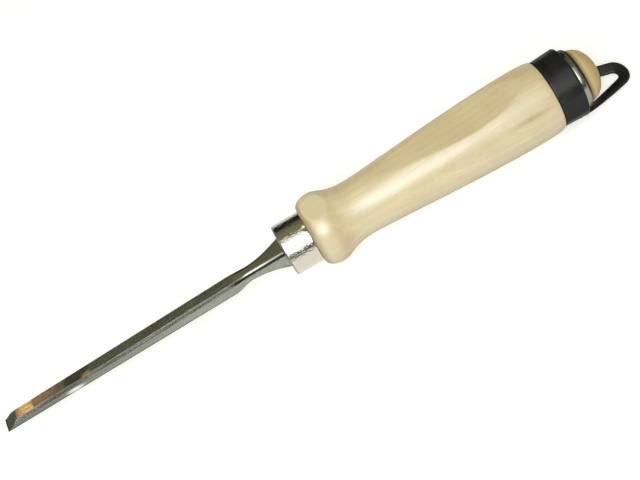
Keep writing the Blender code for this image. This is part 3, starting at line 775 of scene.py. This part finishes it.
    # under the brown and on to the last spot the film is so thin that it only dims the steel
    dimIn = addNode(tree, "ShaderNodeMapRange", inputs={"Value": ragged, "From Min": 18, "From Max": 26})
    dimEnd = {"Value": ragged, "From Min": 40.4, "From Max": 38.6, "To Max": 0.72}
    dimOut = addNode(tree, "ShaderNodeMapRange", softStep, dimEnd)
    dimBand = addNode(tree, "ShaderNodeMath", {"operation": "MULTIPLY"}, {0: dimIn, 1: dimOut})
    onFlank = addNode(tree, "ShaderNodeMath", {"operation": "MULTIPLY"}, {0: onSlope, 1: 0.6})
    dimFace = addNode(tree, "ShaderNodeMath", {"operation": "MAXIMUM"}, {0: topFace, 1: onFlank})
    dimTop = addNode(tree, "ShaderNodeMath", {"operation": "MULTIPLY"}, {0: dimBand, 1: dimFace})
    dimmed = {0: dimTop, 6: metal, 7: linear("#6e6c57")}
    dimSteel = addNode(tree, "ShaderNodeMix", colourMix, dimmed)
    filmed = {0: film, 6: dimSteel, 7: lacquer}
    colour = addNode(tree, "ShaderNodeMix", colourMix, filmed)
    bareShare = addNode(tree, "ShaderNodeMapRange", inputs={"Value": film, "To Min": 1, "To Max": 0.3})

    # the blade is ground, the neck behind it polished
    ground = {"Value": grind, "To Min": 0.2, "To Max": 0.34}
    groundRough = addNode(tree, "ShaderNodeMapRange", inputs=ground)
    polish = {"Value": along, "From Min": 100, "From Max": 108}
    neck = addNode(tree, "ShaderNodeMapRange", softStep, polish)
    neckRough = {0: neck, 2: groundRough, 3: 0.17}
    roughness = addNode(tree, "ShaderNodeMix", {"data_type": "FLOAT"}, neckRough)
    bump = addNode(tree, "ShaderNodeBump", inputs={"Height": grind, "Strength": 0.12, "Distance": 0.00002})
    skin = {"Base Color": colour, "Metallic": bareShare, "Roughness": roughness, "Normal": bump}
    joinInputs(tree, shader, skin)
    return material


def nickelPlate():
    # bright nickel on drawn steel: near mirror, slightly warm, faint draw lines along the tool
    material, tree, shader = newMaterial("bright nickel plate")
    spot = toolCoordinates(tree)
    # draw lines are about 0.1 mm apart, drawn at 0.5 mm to show
    lines = addNode(tree, "ShaderNodeMapping", inputs={"Vector": spot, "Scale": (1 / 5, 1 / 0.5, 1 / 0.5)})
    draw = addNode(tree, "ShaderNodeTexNoise", inputs={"Vector": lines, "Scale": 1, "Detail": 4})
    rough = {"Value": draw, "From Min": 0.3, "From Max": 0.7, "To Min": 0.15, "To Max": 0.24}
    roughness = addNode(tree, "ShaderNodeMapRange", inputs=rough)
    tone = {0: draw, 6: linear("#bebcb0"), 7: linear("#d6d4c8")}
    plate = addNode(tree, "ShaderNodeMix", colourMix, tone)
    # painted reflection: a gold tint on the burr of the stake mark, the handle's wood as the burr would
    # mirror it
    burr = math.radians(ferrule["burrDegrees"])
    reflectionPlace = (ferruleRear - 0.4, -ferrule["radius"] * math.sin(burr), ferrule["radius"] * math.cos(burr))
    reflectionReach = addNode(tree, "ShaderNodeVectorMath", {"operation": "DISTANCE"}, {0: spot, 1: reflectionPlace})
    reflectionRange = {"Value": reflectionReach.outputs["Value"], "From Min": 1.2, "From Max": 0.4, "To Max": 0.7}
    woodReflection = addNode(tree, "ShaderNodeMapRange", softStep, reflectionRange)
    woodReflected = {0: woodReflection, 6: plate, 7: linear("#d9bd85")}
    clean = addNode(tree, "ShaderNodeMix", colourMix, woodReflected)
    # painted dark reflection round the front rim, where the metal is also made duller
    parts = addNode(tree, "ShaderNodeSeparateXYZ", inputs={0: spot})
    along = parts.outputs["X"]
    rim = {"Value": along, "From Min": ferruleFront + 0.75, "From Max": ferruleFront + 0.1, "To Max": 0.9}
    rimShadeBand = addNode(tree, "ShaderNodeMapRange", softStep, rim)
    face = addNode(tree, "ShaderNodeNewGeometry")
    facing = addNode(tree, "ShaderNodeSeparateXYZ", inputs={0: face.outputs["Normal"]})
    endFace = {"Value": facing.outputs["X"], "From Min": -0.9, "From Max": -0.6, "To Min": 0.3, "To Max": 1}
    offEnd = addNode(tree, "ShaderNodeMapRange", inputs=endFace)
    rimShade = addNode(tree, "ShaderNodeMath", {"operation": "MULTIPLY"}, {0: rimShadeBand, 1: offEnd})
    shadedEdge = {0: rimShade, 6: clean, 7: linear("#34322a")}
    colour = addNode(tree, "ShaderNodeMix", colourMix, shadedEdge)
    bareShare = addNode(tree, "ShaderNodeMapRange", inputs={"Value": rimShade, "To Min": 1, "To Max": 0.3})
    wave = addNode(tree, "ShaderNodeMapping", inputs={"Vector": spot, "Scale": (1 / 1.3, 1 / 0.85, 1 / 0.85)})
    ripple = addNode(tree, "ShaderNodeTexNoise", inputs={"Vector": wave, "Scale": 1, "Detail": 3})
    uneven = addNode(tree, "ShaderNodeBump", inputs={"Height": ripple, "Strength": 1, "Distance": 0.00015})
    fine = {"Height": draw, "Normal": uneven, "Strength": 0.25, "Distance": 0.00003}
    bump = addNode(tree, "ShaderNodeBump", inputs=fine)
    skin = {"Base Color": colour, "Metallic": bareShare, "Roughness": roughness, "Normal": bump}
    joinInputs(tree, shader, skin)
    return material


def lacqueredBeech():
    # pale turned beech under satin lacquer: soft rings, long fibres, short ray flecks, ochre end grain
    material, tree, shader = newMaterial("lacquered pale beech")
    spot = toolCoordinates(tree)
    pith = {"Vector": spot, "Location": (0, 31, -17), "Scale": (0.06, 1, 1)}
    rings = addNode(tree, "ShaderNodeMapping", inputs=pith)
    ringWidth = 3.1    # a year's growth in mm
    growth = {
        "Vector": rings, "Scale": 0.314 / ringWidth, "Distortion": 3.2, "Detail": 2, "Detail Scale": 0.5,
    }
    wave = {"wave_type": "RINGS", "rings_direction": "X", "wave_profile": "SAW"}
    ring = addNode(tree, "ShaderNodeTexWave", wave, growth)
    # fibres are under 0.1 mm wide, drawn at 0.55 mm to show; the ray flecks have their real size
    fibreSize = (1 / 24, 1 / 0.55, 1 / 0.55)
    fibres = addNode(tree, "ShaderNodeMapping", inputs={"Vector": spot, "Scale": fibreSize})
    fibre = addNode(tree, "ShaderNodeTexNoise", inputs={"Vector": fibres, "Scale": 1, "Detail": 4})
    fleckSize = (1 / 2.6, 1 / 0.24, 1 / 0.24)
    dashes = addNode(tree, "ShaderNodeMapping", inputs={"Vector": spot, "Scale": fleckSize})
    dash = addNode(tree, "ShaderNodeTexNoise", inputs={"Vector": dashes, "Scale": 1, "Detail": 1})
    flecks = addNode(tree, "ShaderNodeMapRange", inputs={"Value": dash, "From Min": 0.63, "From Max": 0.76})
    cloud = addNode(tree, "ShaderNodeTexNoise", inputs={"Vector": spot, "Scale": 1 / 17, "Detail": 2})
    warm = addNode(tree, "ShaderNodeMapRange", inputs={"Value": cloud, "From Min": 0.38, "From Max": 0.66})
    pale = {0: fibre, 6: linear("#dac893"), 7: linear("#f1e2b8")}
    longGrain = addNode(tree, "ShaderNodeMix", colourMix, pale)
    ringShare = addNode(tree, "ShaderNodeMath", {"operation": "MULTIPLY"}, {0: ring.outputs["Fac"], 1: 0.34})
    ringed = {0: ringShare, 6: longGrain, 7: linear("#c9b482")}
    late = addNode(tree, "ShaderNodeMix", colourMix, ringed)
    warmShare = addNode(tree, "ShaderNodeMath", {"operation": "MULTIPLY"}, {0: warm, 1: 0.5})
    blushed = {0: warmShare, 6: late, 7: linear("#d6c191")}
    blush = addNode(tree, "ShaderNodeMix", colourMix, blushed)
    fleckShare = addNode(tree, "ShaderNodeMath", {"operation": "MULTIPLY"}, {0: flecks, 1: 0.4})
    flecked = {0: fleckShare, 6: blush, 7: linear("#b08c55")}
    side = addNode(tree, "ShaderNodeMix", colourMix, flecked)
    face = addNode(tree, "ShaderNodeNewGeometry")
    facing = addNode(tree, "ShaderNodeSeparateXYZ", inputs={0: face.outputs["Normal"]})
    endOn = addNode(tree, "ShaderNodeMath", {"operation": "ABSOLUTE"}, {0: facing.outputs["X"]})
    endRange = {"Value": endOn, "From Min": 0.1, "From Max": 0.7, "To Min": 0.45, "To Max": 0.9}
    endGrain = addNode(tree, "ShaderNodeMapRange", softStep, endRange)
    parts = addNode(tree, "ShaderNodeSeparateXYZ", inputs={0: spot})
    along = parts.outputs["X"]
    onButt = addNode(tree, "ShaderNodeMath", {"operation": "GREATER_THAN"}, {0: along, 1: hoopRear})
    thirsty = addNode(tree, "ShaderNodeMath", {"operation": "MULTIPLY"}, {0: endGrain, 1: onButt})
    ended = {0: thirsty, 6: side, 7: linear("#ccb276")}
    butt = addNode(tree, "ShaderNodeMix", colourMix, ended)
    # the dome is darker in a band next to the hoop
    foot = {"Value": along, "From Min": hoopRear + 1.9, "From Max": hoopRear + 0.3, "To Max": 0.7}
    footRing = addNode(tree, "ShaderNodeMapRange", softStep, foot)
    nearHoopBand = addNode(tree, "ShaderNodeMath", {"operation": "MULTIPLY"}, {0: footRing, 1: onButt})
    nearHoopDarker = {0: nearHoopBand, 6: butt, 7: linear("#6b5a38")}
    dome = addNode(tree, "ShaderNodeMix", colourMix, nearHoopDarker)
    # the bead's front face is darker: end grain, with painted shade on top of it
    frontOn = {"Value": facing.outputs["X"], "From Min": -0.3, "From Max": -0.75, "To Max": 0.75}
    frontGrainAndShade = addNode(tree, "ShaderNodeMapRange", softStep, frontOn)
    # the flat on the bead was sanded last and is paler
    beadEnd = {"Value": along, "From Min": waistX - 4, "From Max": waistX - 9, "To Max": 0.45}
    onBead = addNode(tree, "ShaderNodeMapRange", softStep, beadEnd)
    levelled = {"Value": facing.outputs["Z"], "From Min": 0.86, "From Max": 0.97}
    level = addNode(tree, "ShaderNodeMapRange", inputs=levelled)
    beadFlat = addNode(tree, "ShaderNodeMath", {"operation": "MULTIPLY"}, {0: onBead, 1: level})
    sanded = {0: beadFlat, 6: dome, 7: linear("#f1e3bf")}
    bead = addNode(tree, "ShaderNodeMix", colourMix, sanded)
    frontDarkened = {0: frontGrainAndShade, 6: bead, 7: linear("#9a8757")}
    grain = addNode(tree, "ShaderNodeMix", colourMix, frontDarkened)

    # a brown stain in the hollow behind the bead, and a pin knot that darkens the fibres before and behind it
    stainAway = {0: spot, 1: handle["stainPlace"]}
    stain = addNode(tree, "ShaderNodeVectorMath", {"operation": "DISTANCE"}, stainAway)
    stainRange = {"Value": stain.outputs["Value"], "From Min": 6, "From Max": 1, "To Max": 0.42}
    stained = addNode(tree, "ShaderNodeMapRange", softStep, stainRange)
    browned = {0: stained, 6: grain, 7: linear("#c79f63")}
    hollow = addNode(tree, "ShaderNodeMix", colourMix, browned)
    pinAway = {0: spot, 1: handle["knotPlace"]}
    pinOff = addNode(tree, "ShaderNodeVectorMath", {"operation": "SUBTRACT"}, pinAway)
    pin = addNode(tree, "ShaderNodeVectorMath", {"operation": "LENGTH"}, {0: pinOff})
    pinRange = {"Value": pin.outputs["Value"], "From Min": 1.5, "From Max": 0.2, "To Max": 0.55}
    pinKnot = addNode(tree, "ShaderNodeMapRange", softStep, pinRange)
    tailOff = addNode(tree, "ShaderNodeVectorMath", {"operation": "MULTIPLY"}, {0: pinOff, 1: (0.13, 1, 1)})
    tail = addNode(tree, "ShaderNodeVectorMath", {"operation": "LENGTH"}, {0: tailOff})
    tailRange = {"Value": tail.outputs["Value"], "From Min": 1.6, "From Max": 0.1, "To Max": 0.34}
    pinTail = addNode(tree, "ShaderNodeMapRange", softStep, tailRange)
    pinShare = addNode(tree, "ShaderNodeMath", {"operation": "MAXIMUM"}, {0: pinKnot, 1: pinTail})
    knotted = {0: pinShare, 6: hollow, 7: linear("#a97c46")}
    colour = addNode(tree, "ShaderNodeMix", colourMix, knotted)

    # the butt's end grain drinks the lacquer, so it shines less
    sealed = addNode(tree, "ShaderNodeMapRange", inputs={"Value": onButt, "To Min": 0.85, "To Max": 0.2})
    # a satin coat hardly mirrors at a glancing angle, which keeps the outline as dark as the wood
    glance = addNode(tree, "ShaderNodeLayerWeight", inputs={"Blend": 0.5})
    edgeOn = glance.outputs["Facing"]
    glancing = {"Value": edgeOn, "From Min": 0.45, "From Max": 0.85, "To Min": 1, "To Max": 0.04}
    satin = addNode(tree, "ShaderNodeMapRange", softStep, glancing)
    coated = addNode(tree, "ShaderNodeMath", {"operation": "MULTIPLY"}, {0: sealed, 1: satin})
    gloss = addNode(tree, "ShaderNodeMath", {"operation": "MULTIPLY"}, {0: coated, 1: 0.5})
    rough = {"Value": fibre, "From Min": 0.3, "From Max": 0.7, "To Min": 0.44, "To Max": 0.54}
    roughness = addNode(tree, "ShaderNodeMapRange", inputs=rough)
    relief = addNode(tree, "ShaderNodeMath", {"operation": "SUBTRACT"}, {0: fibre, 1: fleckShare})
    bump = addNode(tree, "ShaderNodeBump", inputs={"Height": relief, "Strength": 0.10, "Distance": 0.00004})
    shader.inputs["IOR"].default_value = 2.2    # the shader counts it against the coat's 1.5
    shader.inputs["Specular IOR Level"].default_value = 0.15    # for an export that drops the link
    shader.inputs["Specular Tint"].default_value = linear("#c0daff")    # cool, for a white highlight
    shader.inputs["Coat Roughness"].default_value = 0.18
    shader.inputs["Coat IOR"].default_value = 1.5
    joinInputs(tree, shader, {"Coat Weight": coated, "Specular IOR Level": gloss})
    joinInputs(tree, shader, {"Base Color": colour, "Roughness": roughness, "Normal": bump})
    return material


def blackPolypropylene():
    # moulded polypropylene: near black, satin, with the mould's fine spark texture
    material, tree, shader = newMaterial("satin black polypropylene")
    spot = toolCoordinates(tree)
    # the spark texture is about 0.05 mm, drawn at 0.28 mm to show
    spark = addNode(tree, "ShaderNodeTexNoise", inputs={"Vector": spot, "Scale": 1 / 0.28, "Detail": 3})
    flow = addNode(tree, "ShaderNodeTexNoise", inputs={"Vector": spot, "Scale": 1 / 4, "Detail": 3})
    tone = {0: flow, 6: linear("#121514"), 7: linear("#202423")}
    colour = addNode(tree, "ShaderNodeMix", colourMix, tone)
    rough = {"Value": flow, "From Min": 0.35, "From Max": 0.65, "To Min": 0.24, "To Max": 0.46}
    roughness = addNode(tree, "ShaderNodeMapRange", inputs=rough)
    bump = addNode(tree, "ShaderNodeBump", inputs={"Height": spark, "Strength": 0.2, "Distance": 0.00004})
    glance = addNode(tree, "ShaderNodeLayerWeight", inputs={"Blend": 0.5})
    edgeOn = glance.outputs["Facing"]
    glancing = {"Value": edgeOn, "From Min": 0.05, "From Max": 0.5, "To Min": 0.55, "To Max": 0.08}
    satin = addNode(tree, "ShaderNodeMapRange", inputs=glancing)
    shader.inputs["IOR"].default_value = 1.4
    shader.inputs["Specular IOR Level"].default_value = 0.4    # for an export that drops the link
    skin = {"Base Color": colour, "Roughness": roughness, "Specular IOR Level": satin, "Normal": bump}
    joinInputs(tree, shader, skin)
    return material


def turnedSteel():
    # bright turned mild steel: fine rings round the hoop, a little worn
    material, tree, shader = newMaterial("bright turned steel")
    spot = toolCoordinates(tree)
    # the turning lines lie 0.16 mm apart, a lathe's fine feed
    lines = addNode(tree, "ShaderNodeMapping", inputs={"Vector": spot, "Scale": (1 / 0.16, 1 / 9, 1 / 9)})
    cut = addNode(tree, "ShaderNodeTexNoise", inputs={"Vector": lines, "Scale": 1, "Detail": 3})
    wear = addNode(tree, "ShaderNodeTexNoise", inputs={"Vector": spot, "Scale": 1 / 2.2, "Detail": 4})
    tone = {0: wear, 6: linear("#8f8d7e"), 7: linear("#a8a698")}
    bright = addNode(tree, "ShaderNodeMix", colourMix, tone)
    # painted shade and dark reflection in the corner where the ring meets the wooden dome, strongest on the
    # upper side
    parts = addNode(tree, "ShaderNodeSeparateXYZ", inputs={0: spot})
    shadeSlant = {0: parts.outputs["Z"], 1: 0.07, 2: parts.outputs["X"]}
    shadeReach = addNode(tree, "ShaderNodeMath", {"operation": "MULTIPLY_ADD"}, shadeSlant)
    corner = {"Value": shadeReach, "From Min": hoopRear - 0.9, "From Max": hoopRear - 0.2, "To Max": 0.95}
    cornerShade = addNode(tree, "ShaderNodeMapRange", softStep, corner)
    cornerShaded = {0: cornerShade, 6: bright, 7: linear("#25241f")}
    colour = addNode(tree, "ShaderNodeMix", colourMix, cornerShaded)
    bareShare = addNode(tree, "ShaderNodeMapRange", inputs={"Value": cornerShade, "To Min": 1, "To Max": 0.1})
    rough = {"Value": wear, "From Min": 0.3, "From Max": 0.7, "To Min": 0.16, "To Max": 0.3}
    worn = addNode(tree, "ShaderNodeMapRange", inputs=rough)
    cornerShadeRough = {0: cornerShade, 2: worn, 3: 0.8}
    roughness = addNode(tree, "ShaderNodeMix", {"data_type": "FLOAT"}, cornerShadeRough)
    bump = addNode(tree, "ShaderNodeBump", inputs={"Height": cut, "Strength": 0.15, "Distance": 0.00003})
    shader.inputs["Specular Tint"].default_value = linear("#77756a")
    skin = {"Base Color": colour, "Metallic": bareShare, "Roughness": roughness, "Normal": bump}
    joinInputs(tree, shader, skin)
    return material


# a pale floor, one large soft box over the camera, a weak fill from behind and a dim room
stage = {
    "floorSize": 40.0, "floorDrop": 0.0001, "floorColour": "#c6c6c4", "floorGlow": 0.62,
    "roomColour": "#8a8468", "darkColour": "#1c1c1d", "frontDark": 0.9,
    "lampDistance": 0.9, "lampElevation": 54.5, "lampSide": -0.2, "lampWide": 1.5, "lampTall": 1.06,
    "lampPower": 8.3, "lampHeart": 3.7, "heartPlace": (0.5, 0.4, 0), "heartReach": 0.8, "lampRight": 0.4,
    "fillDistance": 1.3, "fillElevation": 14.0, "fillWide": 1.8, "fillTall": 0.5,
    "fillPower": 1.5, "fillSpread": 95.0,
}


def makeFloor():
    # white paper: it takes the shadow, and the camera and polished metal see it a little brighter
    mesh = bpy.data.meshes.new("floor")
    half = stage["floorSize"] / 2
    corners = [(-half, -half), (half, -half), (half, half), (-half, half)]
    mesh.from_pydata([(x, y, -stage["floorDrop"]) for x, y in corners], [], [(0, 1, 2, 3)])
    floor = newPiece("floor", mesh)
    material = bpy.data.materials.new("white paper")
    material.use_nodes = True
    tree = material.node_tree
    tree.nodes.clear()
    ray = addNode(tree, "ShaderNodeLightPath")
    seen = {0: ray.outputs["Is Camera Ray"], 1: ray.outputs["Is Glossy Ray"]}
    direct = addNode(tree, "ShaderNodeMath", {"operation": "MAXIMUM"}, seen)
    through = {0: direct, 1: ray.outputs["Is Transmission Ray"]}
    shown = addNode(tree, "ShaderNodeMath", {"operation": "MAXIMUM"}, through)
    strength = addNode(tree, "ShaderNodeMath", {"operation": "MULTIPLY"}, {0: shown, 1: stage["floorGlow"]})
    paper = addNode(tree, "ShaderNodeBsdfDiffuse", inputs={"Color": linear(stage["floorColour"])})
    glow = addNode(tree, "ShaderNodeEmission", inputs={"Strength": strength})
    both = addNode(tree, "ShaderNodeAddShader", inputs={0: paper, 1: glow})
    addNode(tree, "ShaderNodeOutputMaterial", inputs={"Surface": both})
    mesh.materials.append(material)


def makeLight():
    tilt = math.radians(stage["lampElevation"])
    lamp = bpy.data.lights.new("soft box", "AREA")
    lamp.shape = "RECTANGLE"
    lamp.size = stage["lampWide"]
    lamp.size_y = stage["lampTall"]
    lamp.energy = stage["lampPower"]
    obj = bpy.data.objects.new("soft box", lamp)
    bpy.context.scene.collection.objects.link(obj)
    obj.location = Vector((0, -math.cos(tilt), math.sin(tilt))) * stage["lampDistance"]
    obj.location.x = stage["lampSide"]
    obj.rotation_euler = (math.pi / 2 - tilt, 0, 0)

    # the cloth of the soft box glows brightest over its tube and is dimmer at the end towards the butt
    lamp.use_nodes = True
    tree = lamp.node_tree
    tree.nodes.clear()
    cloth = addNode(tree, "ShaderNodeNewGeometry")
    middle = {0: cloth.outputs["Parametric"], 1: stage["heartPlace"]}
    spread = addNode(tree, "ShaderNodeVectorMath", {"operation": "SUBTRACT"}, middle)
    flat = addNode(tree, "ShaderNodeVectorMath", {"operation": "MULTIPLY"}, {0: spread, 1: (2, 2, 0)})
    reach = addNode(tree, "ShaderNodeVectorMath", {"operation": "LENGTH"}, {0: flat})
    falling = {"Value": reach.outputs["Value"], "From Min": stage["heartReach"], "From Max": 0, "To Min": 1}
    falling["To Max"] = 1 + stage["lampHeart"]
    glow = addNode(tree, "ShaderNodeMapRange", softStep, falling)
    side = addNode(tree, "ShaderNodeSeparateXYZ", inputs={0: cloth.outputs["Parametric"]})
    dimmer = {
        "Value": side.outputs["X"], "From Min": 0.6, "From Max": 0.78,
        "To Min": 1, "To Max": stage["lampRight"],
    }
    fading = addNode(tree, "ShaderNodeMapRange", softStep, dimmer)
    strength = addNode(tree, "ShaderNodeMath", {"operation": "MULTIPLY"}, {0: glow, 1: fading})
    shine = addNode(tree, "ShaderNodeEmission", inputs={"Strength": strength})
    addNode(tree, "ShaderNodeOutputLight", inputs={"Surface": shine})

    # a weaker sheet of light from behind, for the far side; it leaves no mark in the metal
    fill = bpy.data.lights.new("fill", "AREA")
    fill.shape = "RECTANGLE"
    fill.size = stage["fillWide"]
    fill.size_y = stage["fillTall"]
    fill.energy = stage["fillPower"]
    fill.spread = math.radians(stage["fillSpread"])
    far = math.radians(stage["fillElevation"])
    sheet = bpy.data.objects.new("fill", fill)
    bpy.context.scene.collection.objects.link(sheet)
    sheet.location = Vector((0, math.cos(far), math.sin(far))) * stage["fillDistance"]
    sheet.rotation_euler = (far - math.pi / 2, 0, 0)
    sheet.visible_glossy = False
    sheet.visible_camera = False

    # a dim room, its back wall dark up to where the ceiling begins, and dark under the soft box too
    world = bpy.data.worlds.new("room")
    bpy.context.scene.world = world
    world.use_nodes = True
    tree = world.node_tree
    tree.nodes.clear()
    way = addNode(tree, "ShaderNodeTexCoord")
    parts = addNode(tree, "ShaderNodeSeparateXYZ", inputs={0: way.outputs["Generated"]})
    ceiling = {"Value": parts.outputs["Z"], "From Min": 0.8, "From Max": 0.62}
    low = addNode(tree, "ShaderNodeMapRange", softStep, ceiling)
    backwards = {"Value": parts.outputs["Y"], "From Min": 0.1, "From Max": 0.45}
    behind = addNode(tree, "ShaderNodeMapRange", softStep, backwards)
    wall = addNode(tree, "ShaderNodeMath", {"operation": "MULTIPLY"}, {0: low, 1: behind})
    aside = addNode(tree, "ShaderNodeMath", {"operation": "ABSOLUTE"}, {0: parts.outputs["X"]})
    paler = {"Value": aside, "From Min": 0.12, "From Max": 0.5, "To Min": 1, "To Max": 0.1}
    ends = addNode(tree, "ShaderNodeMapRange", inputs=paler)
    backWall = addNode(tree, "ShaderNodeMath", {"operation": "MULTIPLY"}, {0: wall, 1: ends})
    underLamp = {"Value": parts.outputs["Z"], "From Min": 0.6, "From Max": 0.5, "To Max": stage["frontDark"]}
    frontLow = addNode(tree, "ShaderNodeMapRange", softStep, underLamp)
    forwards = {"Value": parts.outputs["Y"], "From Min": -0.2, "From Max": -0.6}
    before = addNode(tree, "ShaderNodeMapRange", softStep, forwards)
    frontWall = addNode(tree, "ShaderNodeMath", {"operation": "MULTIPLY"}, {0: frontLow, 1: before})
    dark = addNode(tree, "ShaderNodeMath", {"operation": "MAXIMUM"}, {0: backWall, 1: frontWall})
    tones = {0: dark, 6: linear(stage["roomColour"]), 7: linear(stage["darkColour"])}
    colour = addNode(tree, "ShaderNodeMix", colourMix, tones)
    sky = addNode(tree, "ShaderNodeBackground", inputs={"Color": colour})
    addNode(tree, "ShaderNodeOutputWorld", inputs={"Surface": sky})


camera = {
    "elevation": 50.0, "roll": 30.74, "distance": 495.3, "lens": 73.125,
    "aimAlong": 139.9, "aimBelow": 3.31,    # the middle of the picture: along the tool, and below its axis
}


def makeCamera():
    # square to the tool's side, then rolled so that the tool runs up to the right
    tilt = math.radians(camera["elevation"])
    roll = math.radians(camera["roll"])
    along = Vector((1, 0, 0))
    above = Vector((0, math.sin(tilt), math.cos(tilt)))
    back = Vector((0, -math.cos(tilt), math.sin(tilt)))
    right = along * math.cos(roll) - above * math.sin(roll)
    up = along * math.sin(roll) + above * math.cos(roll)
    aim = toolPlace @ (along * camera["aimAlong"] - above * camera["aimBelow"])
    data = bpy.data.cameras.new("camera")
    data.lens = camera["lens"]
    data.clip_start = 0.01
    obj = bpy.data.objects.new("camera", data)
    bpy.context.scene.collection.objects.link(obj)
    turn = Matrix((right, up, back)).transposed().to_4x4()
    obj.matrix_world = Matrix.Translation(aim + back * camera["distance"] * mm) @ turn
    bpy.context.scene.camera = obj


makeCamera()
makeFloor()
makeLight()
print("stage set")
makeBlade(groundToolSteel())
makeFerrule(nickelPlate())
makeHandle(lacqueredBeech())
makeCollar(blackPolypropylene())
makeHoop(turnedSteel())

bpy.context.scene.view_settings.view_transform = "Standard"
print("pieces done")
